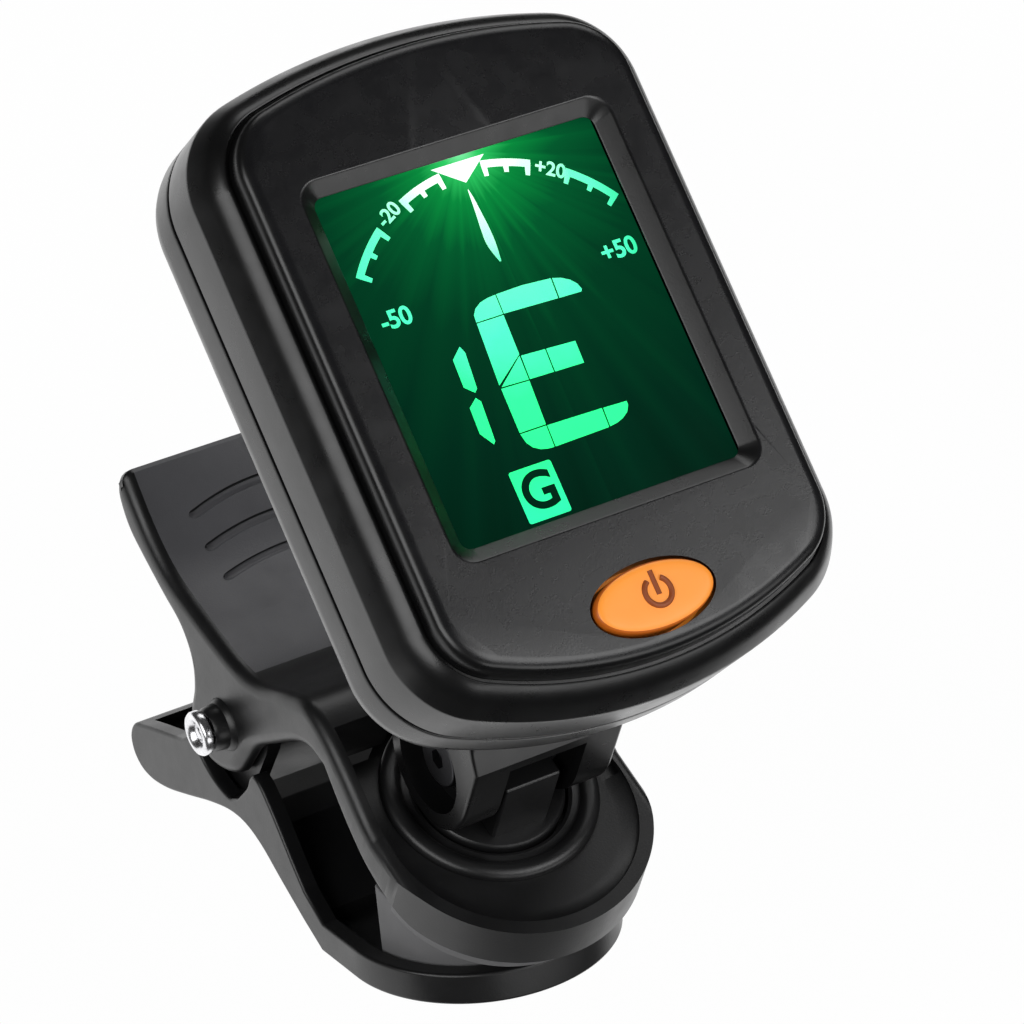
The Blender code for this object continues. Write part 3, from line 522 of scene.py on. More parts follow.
def from_curve(name, curve, seam):
    """The mesh of a curve or text, with points nearer than seam made one."""
    guide = bpy.data.objects.new(name, curve)
    bpy.context.scene.collection.objects.link(guide)
    bpy.context.view_layer.update()
    graph = bpy.context.evaluated_depsgraph_get()
    data = bmesh.new()
    data.from_mesh(bpy.data.meshes.new_from_object(guide.evaluated_get(graph)))
    bmesh.ops.remove_doubles(data, verts=data.verts, dist=seam)
    bpy.data.objects.remove(guide)
    return to_object(name, data)


def tube(name, path, radius, sides=16):
    """A round bar along a path of points, with flat ends."""
    curve = bpy.data.curves.new(name, "CURVE")
    curve.dimensions = "3D"
    curve.bevel_depth = radius
    curve.bevel_resolution = sides // 4
    curve.use_fill_caps = True
    spline = curve.splines.new("POLY")
    spline.points.add(len(path) - 1)
    for point, place in zip(spline.points, path):
        point.co = (*place, 1.0)
    return from_curve(name, curve, 0.001)


def finished(obj, body, place, look, replaced=(), sharp=32, weighted=True):
    """Puts a piece made in millimetres in its place, shades it and hangs it on its body."""
    obj.data.transform(place @ TO_METRES)
    for name in look if isinstance(look, (list, tuple)) else [look]:
        obj.data.materials.append(LOOKS[name])
    obj.data.shade_smooth()
    obj.data.set_sharp_from_angle(angle=math.radians(sharp))
    if weighted:
        even = obj.modifiers.new("even_normals", "WEIGHTED_NORMAL")
        even.keep_sharp = True
        even.weight = 60
    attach(obj, body)
    if replaced:
        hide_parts(*replaced)
    return obj


# ---------------------------------------------------------------- clip arms


def arm_plan(centre):
    """Outline of an arm from above: straight sides and a round jaw end."""
    return [(ARM_HALF, -60), *arc((0, centre), ARM_HALF, 0, 180, 96), (-ARM_HALF, -60)]


UPPER_TOP = smooth([(-1.2, 0.0), (0.75, 0.5), (4.5, 2.0), (8.2, 3.1), (11.4, 3.05), (14.3, 0.9),
                    (18.2, -2.5), (21.5, -3.85), (28.4, -4.9), (33.0, -5.15), (36.6, -4.35),
                    (39.9, -2.9), (41.9, -1.85)])


def upper_surface(y):
    """Height of the upper arm's top face at y."""
    for (y0, z0), (y1, z1) in zip(UPPER_TOP, UPPER_TOP[1:]):
        if y0 <= y <= y1:
            return z0 + (z1 - z0) * (y - y0) / (y1 - y0)
    return UPPER_TOP[-1][1]


def upper_profile():
    """Side of the upper arm: disc, hump and handle, then back under the pivot lobe."""
    end = smooth([(42.35, -1.9), (42.82, -2.8), (42.62, -4.3), (41.5, -5.6), (39.6, -6.8), (36.9, -7.5),
                  (33.0, -8.2), (29.8, -8.7), (27.7, -10.2), (26.6, -12.6), (26.2, -15.6),
                  (25.0, -17.3), (22.3, -18.0), (19.9, -17.0), (18.0, -15.0), (17.3, -12.5),
                  (16.6, -9.8), (14.3, -6.3), (10.9, -1.9), (9.1, -0.7), (7.2, -0.5)])
    under = smooth([(5.0, -1.7), (2.4, -2.9), (-0.5, -3.9), (-2.5, -4.2)])
    return [(-18, -4.2), (-18, 0), *UPPER_TOP, *end, *under]


def inset_outline(points, amount):
    """An outline drawn in along its corners' own normals."""
    made = []
    area = sum(p[0] * q[1] - q[0] * p[1] for p, q in zip(points, points[1:] + points[:1]))
    for before, here, after in zip(points[-1:] + points[:-1], points, points[1:] + points[:1]):
        first = (Vector(here) - Vector(before)).normalized()
        second = (Vector(after) - Vector(here)).normalized()
        tangent = (first + second).normalized()
        inward = Vector((-tangent.y, tangent.x)) * (1 if area > 0 else -1)
        spread = max(0.6, math.cos(first.angle(second, 0.0) / 2))
        made.append(tuple(Vector(here) + inward * (amount / spread)))
    return made


def round_sided(name, outline, half, radius, steps=5):
    """An outline extruded along X to both sides, with rounded long edges."""
    rings = []
    for side in (-1, 1):
        turns = range(steps, -1, -1) if side < 0 else range(steps + 1)
        for step in turns:
            turn = math.radians(90 * step / steps)
            inset = inset_outline(outline, radius * (1 - math.cos(turn)))
            reach = half - radius + radius * math.sin(turn)
            rings.append([across(a, b, side * reach) for a, b in inset])
    return lofted(name, rings)


# The pin's boss on each side of the arm, as (radius, distance from the middle).
BOSS_PROFILE = [(0.01, 11.0), (2.45, 11.0), (2.45, 12.0), (2.3, 12.35), (2.05, 12.6), (1.95, 13.5),
                (1.75, 13.8), (0.01, 13.8)]


def on_pin(x, side):
    """Turns a spun shape onto the pin's axis, facing out to one side."""
    return Matrix.Translation((x, *PIN)) @ Matrix.Rotation(math.radians(90 * side), 4, "Y")


def upper_arm():
    arm = round_sided("upper_arm_body", upper_profile(), ARM_HALF, ARM_EDGE)
    # The plan is a hair wider than the arm, so that their sides don't share a plane.
    plan = [(x * 1.0001, -b) for x, b in arm_plan(-DISC_Y)]
    boolean(arm, extruded("plan", plan, -2 * FAR, 2 * FAR), "INTERSECT")
    below = [(8.2, -9.0), (8.2, -2.5), (9.0, 1.3), (10.8, 1.3), (13.4, -0.8), (17.6, -4.5),
             (21.3, -5.6)]
    below += [(28.4, -6.5), (33.0, -6.8), (36.2, -6.1), (39.2, -4.8), (40.6, -6.4), (40.6, -20.0),
              (8.2, -20.0)]
    cut(arm, extruded("hollow", rounded(below, 0.6), -ARM_INNER, ARM_INNER, across))
    join(arm, cylinder("boss", 10.3, -4.1, -1.3, (0, 0)))
    # The disc's rim and the dished floor round the swivel, as (radius, height).
    dish = [(0.01, 5.0), (10.9, 5.0), (10.9, -0.25), (10.7, -0.45), (9.9, -0.72), (9.2, -0.8),
            (0.01, -0.8)]
    cut(arm, turned("dish", dish, centre=(0, DISC_Y)))
    sunken = [(DISC_Y, 5.0), (DISC_Y, -0.78), *arc((6.8, 0.22), 1.0, -90, -10, 6), (8.2, 1.4),
              (8.5, 5.0)]
    cut(arm, extruded("sunken", sunken, -10.85, 10.85, across))
    cut(arm, cylinder("seat", 9.0, -3.1, 1.0, (0, 0)))
    cut(arm, cylinder("clearance", 9.6, -0.79, 6.0, (0, 0)))
    cut(arm, cylinder("bore", 2.8, -6.0, 0.0, (0, 0)))
    for side in (-1, 1):
        boss = turned("boss", BOSS_PROFILE)
        join(arm, transformed(boss, on_pin(0, side)))
    cut(arm, cylinder("hole", PIN_HOLE, -FAR, FAR, PIN, "X"))
    for apex in GROOVE_APEXES:
        cut(arm, finger_groove(apex))
    # The handle's upward faces get the grip material: real grain, and lighter colour as painted light.
    for polygon in arm.data.polygons:
        x, y, z = polygon.center
        if polygon.normal.z > 0.6 and abs(x) < ARM_INNER and y > 20.0 and z > -6.0:
            polygon.material_index = 1
    finished(arm, "upper_clip", CLIP, ["clip", "painted_light_grip"], ["upper_arm"])


def finger_groove(apex):
    """Cutter for one curved groove, which runs out of the surface at both ends."""
    reach = math.degrees(math.asin(GROOVE_HALF / GROOVE_BEND))
    path = []
    for x, y in arc((0, apex - GROOVE_BEND), GROOVE_BEND, 90 + reach, 90 - reach, 48):
        run_out = max(0.0, abs(x) / GROOVE_HALF - 0.9) * 6.0
        path.append((x, y, upper_surface(y) + 0.04 + run_out))
    return tube("groove", path, GROOVE_RADIUS)


def lower_profile():
    """Side of the lower arm: jaw rim, notch round the pivot lobe and squeeze handle."""
    rim = [jaw_point(21, -3.5), jaw_point(21, -0.6), jaw_point(1.0, -0.6)]
    rim += smooth([(5.4, -15.75), (8.1, -14.6), (12.2, -12.7), (14.6, -11.9), (15.6, -12.1),
                   (15.95, -12.9), (16.0, -14.2), (16.9, -17.0)], 5)
    notch = arc(PIN, 7.6, -113, -58, 24)
    handle = smooth([(26.2, -20.0), (32.2, -25.4), (33.3, -26.6), (33.4, -28.3), (32.4, -29.6),
                     (30.9, -30.02), (29.2, -29.6), (26.75, -28.0), (23.8, -25.3), (20.2, -21.8),
                     (17.25, -19.4), (14.9, -18.3), (12.4, -18.0), (8.7, -18.4), (4.6, -18.8)], 5)
    return rim + notch + handle + [jaw_point(0.4, -3.5)]


def lower_arm():
    arm = extruded("lower_arm_body", lower_profile(), -14, 14, across)
    boolean(arm, extruded("plan", arm_plan(JAW_CENTRE), -2.5 * FAR, 2.5 * FAR, on_jaw), "INTERSECT")
    bevelled(arm, 0.6, 4, 50)
    trough = [jaw_point(0.6, -1.95), (8.0, -16.9), (12.6, -16.5), (15.3, -16.9), (18.2, -18.4),
              (21.4, -20.8)]
    trough += [(25.2, -24.4), (29.8, -28.2), (31.5, -28.0), (32.2, -27.0), (32.2, -5.0), (0.0, -5.0)]
    cut(arm, extruded("trough", rounded(trough, 0.8), -ARM_INNER, ARM_INNER, across))
    jaw = [(CUP_RADIUS, -1.0), *arc((0, JAW_CENTRE), CUP_RADIUS, 0, 180, 72), (-CUP_RADIUS, -1.0)]
    cut(arm, extruded("cup", jaw, -2.0, 8.0, on_jaw))
    for side in (-1, 1):
        ear = [(17.6, -19.4), (22.0, -22.0), (25.0, -24.6), *arc(PIN, 4.1, -10, 190, 40)]
        join(arm, extruded("ear", ear, side * 8.9, side * 10.2, across))
    cut(arm, cylinder("hole", PIN_HOLE, -FAR, FAR, PIN, "X"))
    finished(arm, "lower_clip", CLIP, "clip", ["lower_arm"])


def half_moon(radius, centre, back, corner):
    """A disc cut off straight at back, with rounded corners."""
    start = math.degrees(math.asin((back - centre) / radius))
    return rounded(arc((0, centre), radius, start, 180 - start, 72), corner)


def pads():
    upper = [(x, -distance) for x, distance in half_moon(10.4, -DISC_Y, 3.6, 0.9)]
    pad = bevelled(extruded("upper_pad_rubber", upper, -7.35, -4.5), 0.7, 5, 50)
    finished(pad, "upper_clip", CLIP, "rubber", ["upper_jaw_pad"])
    lower = extruded("lower_pad_rubber", half_moon(10.3, JAW_CENTRE, 7.6, 1.4), -1.7, 9.0, on_jaw)
    cut(lower, block("top", (-FAR, -1.5 * FAR, -7.65), (FAR, 1.5 * FAR, FAR)))
    bevelled(lower, 0.9, 6, 45)
    finished(lower, "lower_clip", CLIP, "rubber", ["lower_jaw_pad"])


def pin():
    rim = PIN_HEAD_RADIUS
    # A domed rim round a recess with a raised middle, as (radius, distance from the arm).
    head = [(0.01, 0.62), (0.4, 0.60), (0.55, 0.48), (0.66, 0.3), (0.95, 0.3), (1.15, 0.62),
            (1.4, 0.86), (1.6, 0.9), (rim - 0.15, 0.82), (rim, 0.62), (rim, 0.1), (rim - 0.1, 0.0),
            (0.01, 0)]
    for name, side, node in (("pin_head", -1, "pivot_pin"), ("pin_cap", 1, "pin_retainer")):
        cap = turned(name, head)
        transformed(cap, on_pin(side * PIN_FACE, side))
        if side < 0:
            join(cap, cylinder("shank", 1.2, -14.2, 13.5, PIN, "X", 64))
        finished(cap, "upper_clip", CLIP, "chrome", [node], 40)


def spring():
    """Coils round the pin with the upper leg, and the lower leg, which turns with the lower arm."""
    path = [(-SPRING_HALF, 29.5, -7.7)]
    steps = SPRING_TURNS * 40
    sweep = SPRING_TURNS * 360 - 185
    for index in range(steps + 1):
        share = index / steps
        angle = math.radians(115.0 - sweep * share)
        y = PIN[0] + SPRING_RADIUS * math.cos(angle)
        z = PIN[1] + SPRING_RADIUS * math.sin(angle)
        path.append((-SPRING_HALF + 2 * SPRING_HALF * share, y, z))
    coil = tube("torsion_spring_wire", path, SPRING_WIRE, 12)
    finished(coil, "upper_clip", CLIP, "steel", ["torsion_spring"], 60, False)
    lower_leg = [(SPRING_HALF, *path[-1][1:]), (SPRING_HALF, 27.6, -24.3)]
    leg = tube("torsion_spring_leg", lower_leg, SPRING_WIRE, 12)
    finished(leg, "lower_clip", CLIP, "steel", (), 60, False)


# ---------------------------------------------------------------- swivel and hinge


def swivel():
    bead = [(6.6, -0.55), (6.9, -0.42), (7.3, -0.5), (7.55, -0.42)]
    turns = [math.radians(angle) for angle in range(168, -1, -8)]
    bead += [(8.4 + 0.85 * math.cos(turn), -0.55 + 0.7 * math.sin(turn)) for turn in turns]
    seat = [(9.22, -0.75), (8.7, -0.8), (8.7, -2.9), (8.0, -2.9), (8.0, -1.35), (6.6, -1.35)]
    collar = turned("collar_ring", bead + seat, 192, True)
    finished(collar, "upper_clip", CLIP, "clip", ["swivel_collar"])
    # The turntable's top, its rim and the flange under the disc, as (radius, height).
    table = [(0.01, 0), (5.85, 0), (6.1, -0.06), (6.25, -0.22), (6.3, -0.45), (6.3, -1.65),
             (7.7, -1.65), (7.7, -2.8), (2.5, -2.8), (2.5, -4.0), (0.01, -4.0)]
    base = turned("turntable", table, 160)
    foot = [(-4.75, -0.5), (5.5, -0.5), (5.5, HINGE[1]), (-4.75, HINGE[1])]
    join(base, bevelled(extruded("foot", foot, -FOOT_HALF, FOOT_HALF, across), 0.25, 3))
    barrel = arc(HINGE, 5.1, 0, 115, 40) + [(-1.76, HINGE[1] - 0.4), (HINGE[0], 3.0), (5.0, 3.0)]
    join(base, extruded("barrel", barrel, -FOOT_HALF, FOOT_HALF, across))
    cut(base, cylinder("hole", HINGE_HOLE, -5, 5, HINGE, "X", 64))
    cut(base, cylinder("bore", 1.2, -6.0, -1.4, (0, 0), steps=48))
    finished(base, "swivel_foot", CLIP, "clip", ["swivel_base"])


def hinge_hardware():
    seat = HINGE_SEAT
    axle = cylinder("axle_bolt", 1.5, -seat - 0.2, seat + 0.9, HINGE, "X", 64)
    join(axle, bevelled(cylinder("head", 2.5, -seat - 1.0, -seat, HINGE, "X", 64), 0.25, 3))
    cut(axle, extruded("socket", circle(HINGE, 0.9, 6), -seat - 2, -seat - 0.4, across))
    finished(axle, "head", CLIP, "dark_steel", ["hinge_axle"])
    nut = extruded("axle_nut", circle(HINGE, 2.8, 6), seat, seat + 1.2, across)
    cut(nut, cylinder("hole", HINGE_HOLE, 0, 10, HINGE, "X", 64))
    bevelled(nut, 0.12, 2)
    finished(nut, "head", CLIP, "dark_steel", ["hinge_nut"])


# ---------------------------------------------------------------- head


def head_outline(inset):
    """Outline of the head, drawn in by inset: straight sides, round corners, bowed ends."""
    radius = CORNER_RADIUS - inset
    points = []
    for turn, end, bend in ((0, 26.8, 56.0), (180, -29.6, 38.0)):
        sign = 1 if turn == 0 else -1
        middle = end - sign * bend
        lean = math.degrees(math.asin(CORNER_X / (bend - CORNER_RADIUS)))
        corner = middle + sign * (bend - CORNER_RADIUS) * math.cos(math.radians(lean))
        points += arc((sign * CORNER_X, corner), radius, turn, turn + 90 - lean, 22)
        points += arc((0, middle), bend - inset, turn + 90 - lean, turn + 90 + lean, 36)[1:-1]
        points += arc((-sign * CORNER_X, corner), radius, turn + 90 + lean, turn + 180, 22)
    return points


def head_loft(name, levels):
    """A solid through the head's outline at each (inset, height)."""
    return lofted(name, [[(x, y, height) for x, y in head_outline(inset)] for inset, height in levels])


def window_ring(half, radius, height):
    """A rounded rectangle with the same number of points at every size."""
    a, b = half[0] - radius, half[1] - radius
    made = []
    for turn, corner in ((0, (a, b)), (90, (-a, b)), (180, (-a, -b)), (270, (a, -b))):
        made += [(x, y, height) for x, y in arc(corner, radius, turn, turn + 90, 10)]
    return made


def front_shell():
    # From the parting line over the shoulder and the step to the raised face, as (inset, height).
    wall = [(0.25, PARTING_FRONT), (0.08, -8.79), (0.0, -8.6), (0.0, -6.5), (0.0, -4.35), (0.07, -4.15),
            (0.21, -3.81), (0.42, -3.29), (0.65, -2.78), (0.87, -2.29), (1.16, -1.82), (1.55, -1.4),
            (1.9, -1.1), (2.03, -1.04), (2.12, -1.06), (2.17, -1.2), (2.2, -1.4), (2.44, -1.4),
            (2.48, -1.2), (2.52, -0.3), (2.58, 0.05), (2.7, 0.37), (2.86, 0.58), (3.08, 0.71),
            (3.35, 0.83), (3.7, FACE)]
    shell = head_loft("front_shell_body", wall)
    cut(shell, head_loft("cavity", [(CAVITY_INSET, -10.0), (CAVITY_INSET, -3.6), (2.8, -1.6)]))
    for centre in BOSS_POINTS:
        join(shell, cylinder("boss", 2.0, PARTING_FRONT, -1.4, centre, steps=32))
        cut(shell, cylinder("hole", 1.0, -9.8, -2.2, centre, steps=24))
    # The bevel round the window, as ((half width, half height), corner radius, height).
    bezel = [((12.6, 14.66), 0.9, -0.5), ((12.6, 14.66), 0.9, -0.12), ((12.68, 14.74), 0.96, -0.04),
             ((13.78, 15.77), 1.75, 0.8), ((13.92, 15.88), 1.83, 0.87), ((14.15, 16.05), 1.95, 0.92),
             ((14.2, 16.1), 2.0, 1.2)]
    hole = ellipse((0, BUTTON_Y), (BUTTON_HALF[0] + BUTTON_GAP, BUTTON_HALF[1] + BUTTON_GAP))
    cut(shell, extruded("button_hole", hole, -5, 5))
    cut(shell, lofted("bezel", [window_ring(*ring) for ring in bezel]))
    cut(shell, extruded("lens_seat", rectangle((13.9, 16.0), (0, 0), 1.0), -5.0, -0.2))
    for polygon in shell.data.polygons:
        if polygon.normal.z > 0.9 and polygon.center.z > 0.7:
            polygon.material_index = 1
    finished(shell, "head", HEAD, ["shell", "face"], ["front_shell"])


def to_head_frame():
    """From the clip frame to the head frame, both at rest."""
    return Matrix.Rotation(-HEAD_TILT, 4, "X") @ Matrix.Translation((0, -10.39, -45.97))


def rear_shell():
    # From the flat back round its edge to the parting line, as (inset, height).
    back = [(2.9, BACK), (2.2, -14.72), (1.6, -14.52), (1.1, -14.2), (0.7, -13.75), (0.4, -13.2),
            (0.2, -12.7), (0.08, -12.2), (0.0, -11.6), (0.0, -9.4), (0.08, -9.21), (0.25, PARTING_REAR)]
    shell = head_loft("rear_shell_body", back)
    low = arc(HINGE, LUG_RADIUS, 180, 360, 60)
    front = [(-3.4, 27.0), (-3.4, 14.4), (-4.6, 12.7), (-5.5, 11.6)]
    neck = extruded("neck", low + [(6.3, 31.0)] + front, -LUG_HALF, LUG_HALF, across)
    bevelled(neck, 0.35, 4, 50)
    join(shell, transformed(neck, to_head_frame()))
    cut(shell, head_loft("cavity", [(2.4, -13.2), (CAVITY_INSET, -12.2), (CAVITY_INSET, -8.0)]))
    for centre in BOSS_POINTS:
        join(shell, cylinder("post", 2.7, -13.5, PARTING_REAR, centre, steps=32))
        cut(shell, cylinder("hole", 1.2, BEYOND_BACK, -8, centre, steps=32))
        cut(shell, cylinder("sink", 2.0, BEYOND_BACK, -12.8, centre, steps=48))
    join(shell, cylinder("well", 12.4, -13.5, PARTING_REAR, (0, CELL_Y)))
    cut(shell, cylinder("door_seat", 11.2, BEYOND_BACK, -6.0, (0, CELL_Y), steps=128))
    cut(shell, block("contact_gap", (-3.6, CELL_Y + 9.5, -11.8), (3.6, CELL_Y + 14.0, -6.0)))
    slot = [(-9, -2), (9, -2), (9, 10.6), (6.5, 12.3), (-2.0, 12.3), (-9, 9.0)]
    tools = [extruded("slot", slot, -LUG_GAP, LUG_GAP, across)]
    tools.append(cylinder("hole", HINGE_HOLE, -9, 9, HINGE, "X", 64))
    for side in (-1, 1):
        tools.append(cylinder("recess", LUG_RECESS, side * 4.9, side * 9, HINGE, "X"))
    for tool in tools:
        cut(shell, transformed(tool, to_head_frame()))
    finished(shell, "head", HEAD, "shell", ["rear_shell"])


def window():
    lens = bevelled(extruded("window_lens", rectangle((13.6, 15.7), (0, 0), 1.0), -1.3, -0.45), 0.1, 2)
    finished(lens, "head", HEAD, "window", ["display_window"])


def button():
    centre = (0, BUTTON_Y)
    # The cap's flat side and domed top, as (inset, height).
    levels = [(0.0, -2.0), (0.0, 1.0), (0.05, 1.18), (0.16, 1.33), (0.34, 1.43), (0.6, 1.47),
              (1.2, 1.48), (1.9, 1.48)]
    rings = []
    for inset, height in levels:
        outline = ellipse(centre, (BUTTON_HALF[0] - inset, BUTTON_HALF[1] - inset))
        rings.append([(x, y, height) for x, y in outline])
    cap = lofted("button_cap", rings)
    join(cap, extruded("flange", ellipse((0, STEM_Y), (6.6, 3.8), 96), -2.7, -1.9))
    join(cap, cylinder("stem", 1.2, -3.1, -2.5, (0, STEM_Y), steps=48))
    # Faces that don't face up, such as the cap's sides, get the darker orange: painted shade.
    for polygon in cap.data.polygons:
        if polygon.normal.z < 0.75:
            polygon.material_index = 1
    finished(cap, "button", HEAD, ["orange", "orange_painted_shade"], ["power_button"])
    middle = (0.26, BUTTON_Y + 0.2)
    height = 1.45
    path = [(x, y, height) for x, y in arc(middle, 1.12, 122, 418, 60)]
    finished(tube("power_mark_ring", path, 0.24), "button", HEAD, "mark")
    bar = [(middle[0], middle[1] - 0.25, height), (middle[0], middle[1] + 1.7, height)]
    finished(tube("power_mark_bar", bar, 0.22), "button", HEAD, "mark")


def battery_door():
    cover = [(0.01, -12.6), (9.4, -12.6), (9.4, -13.4), (10.9, -13.4), (10.9, -14.55), (10.82, -14.73),
             (10.65, BACK), (0.01, BACK)]
    lid = turned("door_lid", cover, 160, centre=(0, CELL_Y))
    cut(lid, extruded("slot", rectangle((5.2, 0.8), (0, CELL_Y), 0.75), BEYOND_BACK, -14.0))
    for angle in (60, 120, 240, 300):
        turn = math.radians(angle)
        spot = (7.6 * math.cos(turn), CELL_Y + 7.6 * math.sin(turn))
        cut(lid, cylinder("dimple", 0.8, BEYOND_BACK, -14.5, spot, steps=48))
    finished(lid, "door", HEAD, "face", ["battery_door"])


# ---------------------------------------------------------------- display artwork


def art(name, outlines, height=ART):
    """Flat display segments, all of one piece, standing just proud of the panel."""
    data = bmesh.new()
    for outline in outlines:
        bottom = [data.verts.new((x, y, height)) for x, y in outline]
        face = data.faces.new(bottom)
        swept = bmesh.ops.extrude_face_region(data, geom=[face])
        moved = [item for item in swept["geom"] if isinstance(item, bmesh.types.BMVert)]
        bmesh.ops.translate(data, vec=(0, 0, ART_THICK), verts=moved)
    obj = to_object(name, data)
    return finished(obj, "head", HEAD, "segments", weighted=False)


def label(name, text, size, centre, turn, bold, height=ART, look="segments"):
    """Characters of the display, a little proud of the panel."""
    curve = bpy.data.curves.new(name, "FONT")
    curve.body = text
    curve.size = size
    curve.align_x = "CENTER"
    curve.align_y = "CENTER"
    curve.offset = bold
    curve.extrude = ART_THICK / 2
    obj = from_curve(name, curve, 0.0005)
    place = Matrix.Translation((*centre, height + ART_THICK / 2))
    transformed(obj, place @ Matrix.Rotation(math.radians(turn), 4, "Z"))
    return finished(obj, "head", HEAD, look, weighted=False)


GAUGE = (1.05, -0.6)
GAUGE_RADIUS = 14.9
GAUGE_BAND = 0.62


def gauge_point(angle, radius):
    """A point of the scale, with its angle from the top in degrees."""
    turn = math.radians(angle)
    return (GAUGE[0] + radius * math.sin(turn), GAUGE[1] + radius * math.cos(turn))


def gauge_band(start, end):
    shares = [step / 16 for step in range(17)]
    outer = [gauge_point(start + (end - start) * share, GAUGE_RADIUS) for share in shares]
    inner = [gauge_point(end + (start - end) * share, GAUGE_RADIUS - GAUGE_BAND) for share in shares]
    return outer + inner


def gauge_tick(angle, length):
    """A short mark that narrows inwards, rooted in its band."""
    half, root, tip = 0.95, GAUGE_RADIUS - 0.3, GAUGE_RADIUS - length
    wide = [gauge_point(angle - half, root), gauge_point(angle + half, root)]
    return wide + [gauge_point(angle + half * 0.8, tip), gauge_point(angle - half * 0.8, tip)]


def display():
    panel = block("display_panel", (-13.4, -17.4, -3.0), (13.4, 15.6, -1.9))
    finished(panel, "head", HEAD, "display", ["lcd_panel"], weighted=False)
    bands, ticks = [], []
    for side in (-1, 1):
        for first, last in ((7.2, 23.6), (35.2, 53.2)):
            bands.append(gauge_band(side * first, side * last))
            middle = (first + last) / 2
            for angle in (first + 0.9, middle, last - 0.9):
                ticks.append(gauge_tick(side * angle, 1.1 if angle == middle else 1.3))
    art("gauge_bands", bands)
    art("gauge_ticks", ticks, ART - 0.004)
    art("gauge_pointer", [[(-1.3, 14.62), (3.5, 14.62), (1.08, 12.85)]])
    needle = smooth([(1.0, 12.3), (1.12, 11.6), (1.24, 10.2), (1.33, 8.6), (1.3, 7.5), (1.12, 6.1)], 4)
    needle += smooth([(1.0, 6.1), (0.68, 7.1), (0.55, 7.9), (0.62, 9.0), (0.8, 10.6), (0.95, 12.2)], 4)
    art("gauge_needle", [needle])
    label("label_minus_20", "-20", 1.65, (-6.15, 12.25), 27, 0.035)
    label("label_plus_20", "+20", 1.65, (8.3, 11.85), -29, 0.035)
    label("label_minus_50", "-50", 2.05, (-9.15, 4.3), 0, 0.045)
    label("label_plus_50", "+50", 2.05, (11.0, 4.1), 0, 0.045)
    # The big letter's eleven segments, from the top bar down.
    letter = [
        [(-3.0, 2.1), (-2.93, 2.7), (-2.6, 3.15), (-2.0, 3.5), (-1.3, 3.66), (-0.55, 3.72),
         (-0.6, 2.1)],
        [(-0.45, 3.73), (1.9, 3.78), (4.45, 3.6), (4.35, 1.93), (-0.5, 2.1)],
        [(4.58, 3.58), (5.3, 3.38), (5.95, 3.02), (6.4, 2.55), (6.58, 2.05), (6.45, 1.86),
         (4.48, 1.92)],
        [(-3.0, 2.0), (-0.6, 2.0), (-0.72, -1.3), (-3.36, -3.12)],
        [(-0.76, -1.42), (-0.84, -3.4), (-3.24, -3.3)],
        [(-0.62, -1.45), (1.5, -1.55), (1.42, -3.45), (-0.72, -3.4)],
        [(1.62, -1.55), (4.2, -1.68), (4.14, -3.52), (1.54, -3.46)],
        [(-3.33, -3.42), (-0.84, -3.5), (-1.05, -7.12), (-3.4, -7.12)],
        [(-3.4, -7.23), (-1.07, -7.23), (-1.15, -9.0), (-1.7, -8.97), (-2.3, -8.83), (-2.85, -8.5),
         (-3.22, -8.0)],
        [(-0.97, -7.24), (3.95, -7.34), (3.87, -8.92), (-1.03, -9.0)],
        [(4.08, -7.36), (6.18, -7.43), (6.17, -7.75), (5.85, -8.25), (5.3, -8.6), (4.7, -8.8),
         (3.99, -8.9)],
    ]
    art("note_letter", letter)
    # The number's two upright segments.
    one = [
        [(-5.15, 0.72), (-4.92, 0.15), (-5.22, -2.8), (-5.5, -3.05), (-6.22, -2.4), (-6.12, -0.1)],
        [(-5.65, -3.45), (-5.35, -3.85), (-5.6, -7.1), (-5.8, -7.3), (-6.55, -6.2), (-6.45, -4.05)],
    ]
    art("string_number", one)
    mode_centre = (-3.83, -11.93)
    art("mode_box", [rectangle((1.88, 2.15), mode_centre, 0.25)])
    label("mode_letter", "G", 4.2, mode_centre, 0, 0.1, ART + 0.032, "display")


# ---------------------------------------------------------------- everything else


def repaint(node, look):
    """A CAD piece that keeps its shape gets a finished material."""
    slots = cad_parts[node].data.materials
    slots.clear()
    slots.append(LOOKS[look])


def kept_nodes():
    """Looks for the CAD pieces that are shown as they are."""
    looks = {"zebra_connector": "rubber", "backlight_guide": "white", "backlight_led": "white",
             "circuit_board": "board", "tuner_chip": "inner", "crystal_can": "steel",
             "tact_switch": "steel", "switch_plunger": "inner", "piezo_sensor": "brass",
             "coin_cell": "steel", "battery_contact_negative": "steel",
             "battery_contact_positive": "steel", "swivel_washer": "steel", "swivel_screw": "steel",
             "hinge_washer_left": "steel", "hinge_washer_right": "steel"}
    for number in range(1, 5):
        looks[f"case_screw_{number}"] = "steel"
    for node, look in looks.items():
        repaint(node, look)


def pale_floor():
    """A floor that shows white and neither lights nor shades the object."""
    paint = Nodes("floor_pale")
    tone = paint.ramp(paint.noise(6.0, 2.0), [(0.3, 0.985), (0.7, 1.0)])
    paint.link(tone, paint.shader.inputs["Emission Color"])
    paint.set(Base_Color=(0.0, 0.0, 0.0, 1.0), Specular_IOR_Level=0.0)
    paint.set(Emission_Strength=1.0, Roughness=1.0)
    data = bmesh.new()
    bmesh.ops.create_grid(data, x_segments=1, y_segments=1, size=3.0)
    floor = to_object("floor", data)
    floor.location = (0, 0, cad_bounds[0][2] - 0.03)
    floor.data.materials.append(paint.material)
    floor.visible_diffuse = False
    floor.visible_glossy = False
    floor.visible_shadow = False


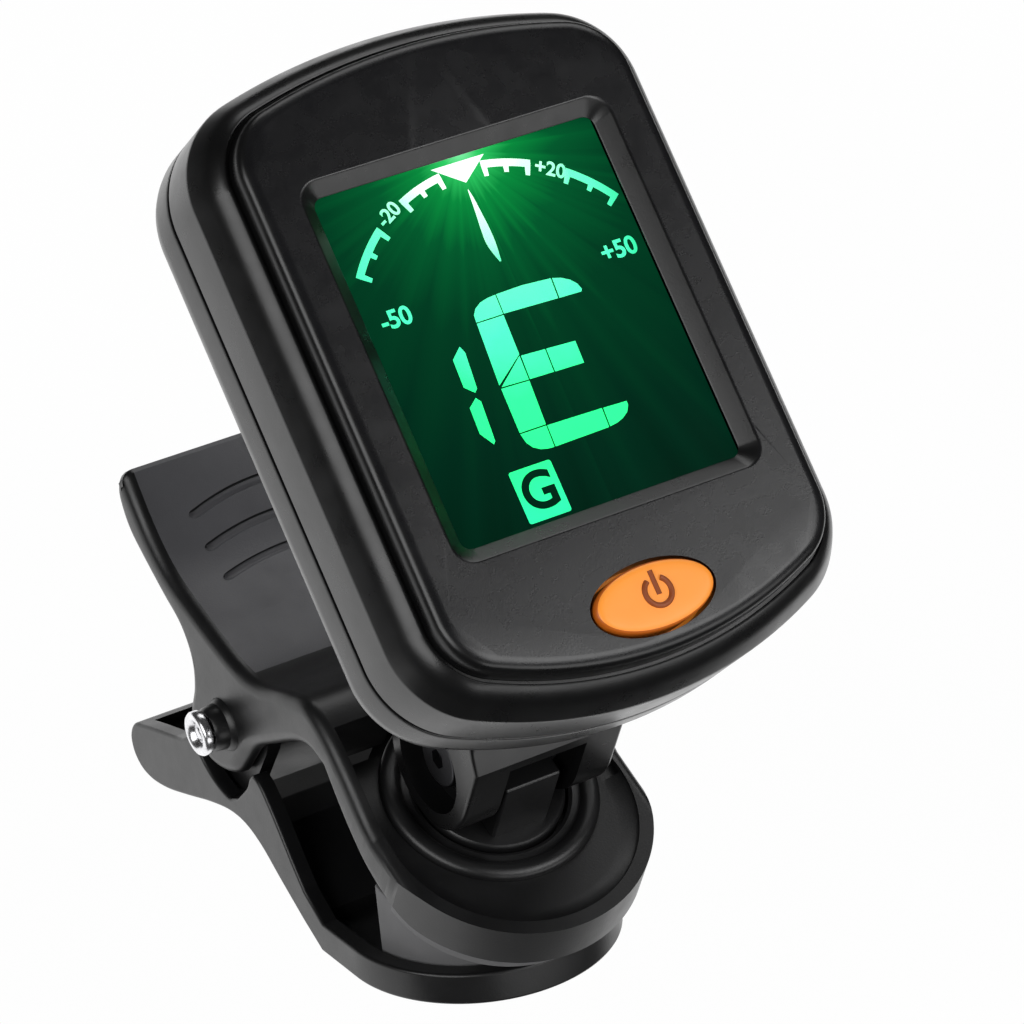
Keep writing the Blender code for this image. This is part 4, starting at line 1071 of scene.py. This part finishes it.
def area_lamp(name, size, radiance):
    """A rectangular lamp, given by the radiance of its face."""
    lamp = bpy.data.lights.new(name, "AREA")
    lamp.shape = "RECTANGLE"
    lamp.size, lamp.size_y = size
    lamp.energy = radiance * math.pi * size[0] * size[1]
    holder = bpy.data.objects.new(name, lamp)
    bpy.context.scene.collection.objects.link(holder)
    return holder


def softbox(name, towards, distance, size, radiance):
    """A lamp that stands towards one side and is aimed at the object."""
    holder = area_lamp(name, size, radiance)
    place = Vector(towards).normalized() * distance
    holder.location = place + Vector((0, 0.015, 0.03))
    holder.rotation_euler = (-place).to_track_quat("-Z", "Y").to_euler()


def long_lens():
    """The camera: far off, left of the jaws, looking down on the face.

    Its place and turns aren't chosen by hand: a camera solver found them from the photograph, and the turns
    are its directions rewritten in degrees and rounded. The lens was held fixed in it, one of five tried.
    """
    place = Vector((-175.344, -174.215, 332.827))
    yaw, pitch, roll = -42.961, 40.862, 15.933
    lens = bpy.data.cameras.new("camera")
    lens.sensor_width = 36.0
    lens.lens = 175.78
    lens.clip_start = 0.01
    camera = bpy.data.objects.new("camera", lens)
    turn = Matrix.Identity(4)
    for angle, axis in ((yaw, "Z"), (pitch, "X"), (roll, "Z")):
        turn = turn @ Matrix.Rotation(math.radians(angle), 4, axis)
    camera.matrix_world = Matrix.Translation(place * MM) @ turn
    bpy.context.scene.collection.objects.link(camera)
    bpy.context.scene.camera = camera


def studio():
    """Pale floor, soft lights and the camera."""
    pale_floor()
    world = bpy.data.worlds.new("studio")
    world.use_nodes = True
    sky = world.node_tree.nodes["Background"]
    sky.inputs["Color"].default_value = (1, 1, 1, 1)
    sky.inputs["Strength"].default_value = 0.03
    bpy.context.scene.world = world
    softbox("light_left", (-0.85, -0.20, 0.50), 0.7, (0.62, 0.38), 3.6)
    softbox("light_front", (0.34, -0.56, 0.76), 0.43, (0.38, 0.2), 3.9)
    softbox("light_front_low", (0.25, -0.96, 0.14), 0.7, (0.9, 0.26), 2.1)
    softbox("light_back_right", (0.45, 0.68, 0.58), 0.7, (0.7, 0.27), 2.1)
    # It shines up through the floor, which casts no shadow.
    bounce = area_lamp("light_bounce", (0.7, 0.44), 1.15)
    bounce.location = (0, 0.17, cad_bounds[0][2] - 0.06)
    bounce.rotation_euler = (math.pi, 0, 0)
    long_lens()
    bpy.context.scene.view_settings.view_transform = "Standard"


upper_arm()
lower_arm()
pads()
pin()
spring()
swivel()
hinge_hardware()
front_shell()
rear_shell()
window()
button()
battery_door()
display()
kept_nodes()
studio()
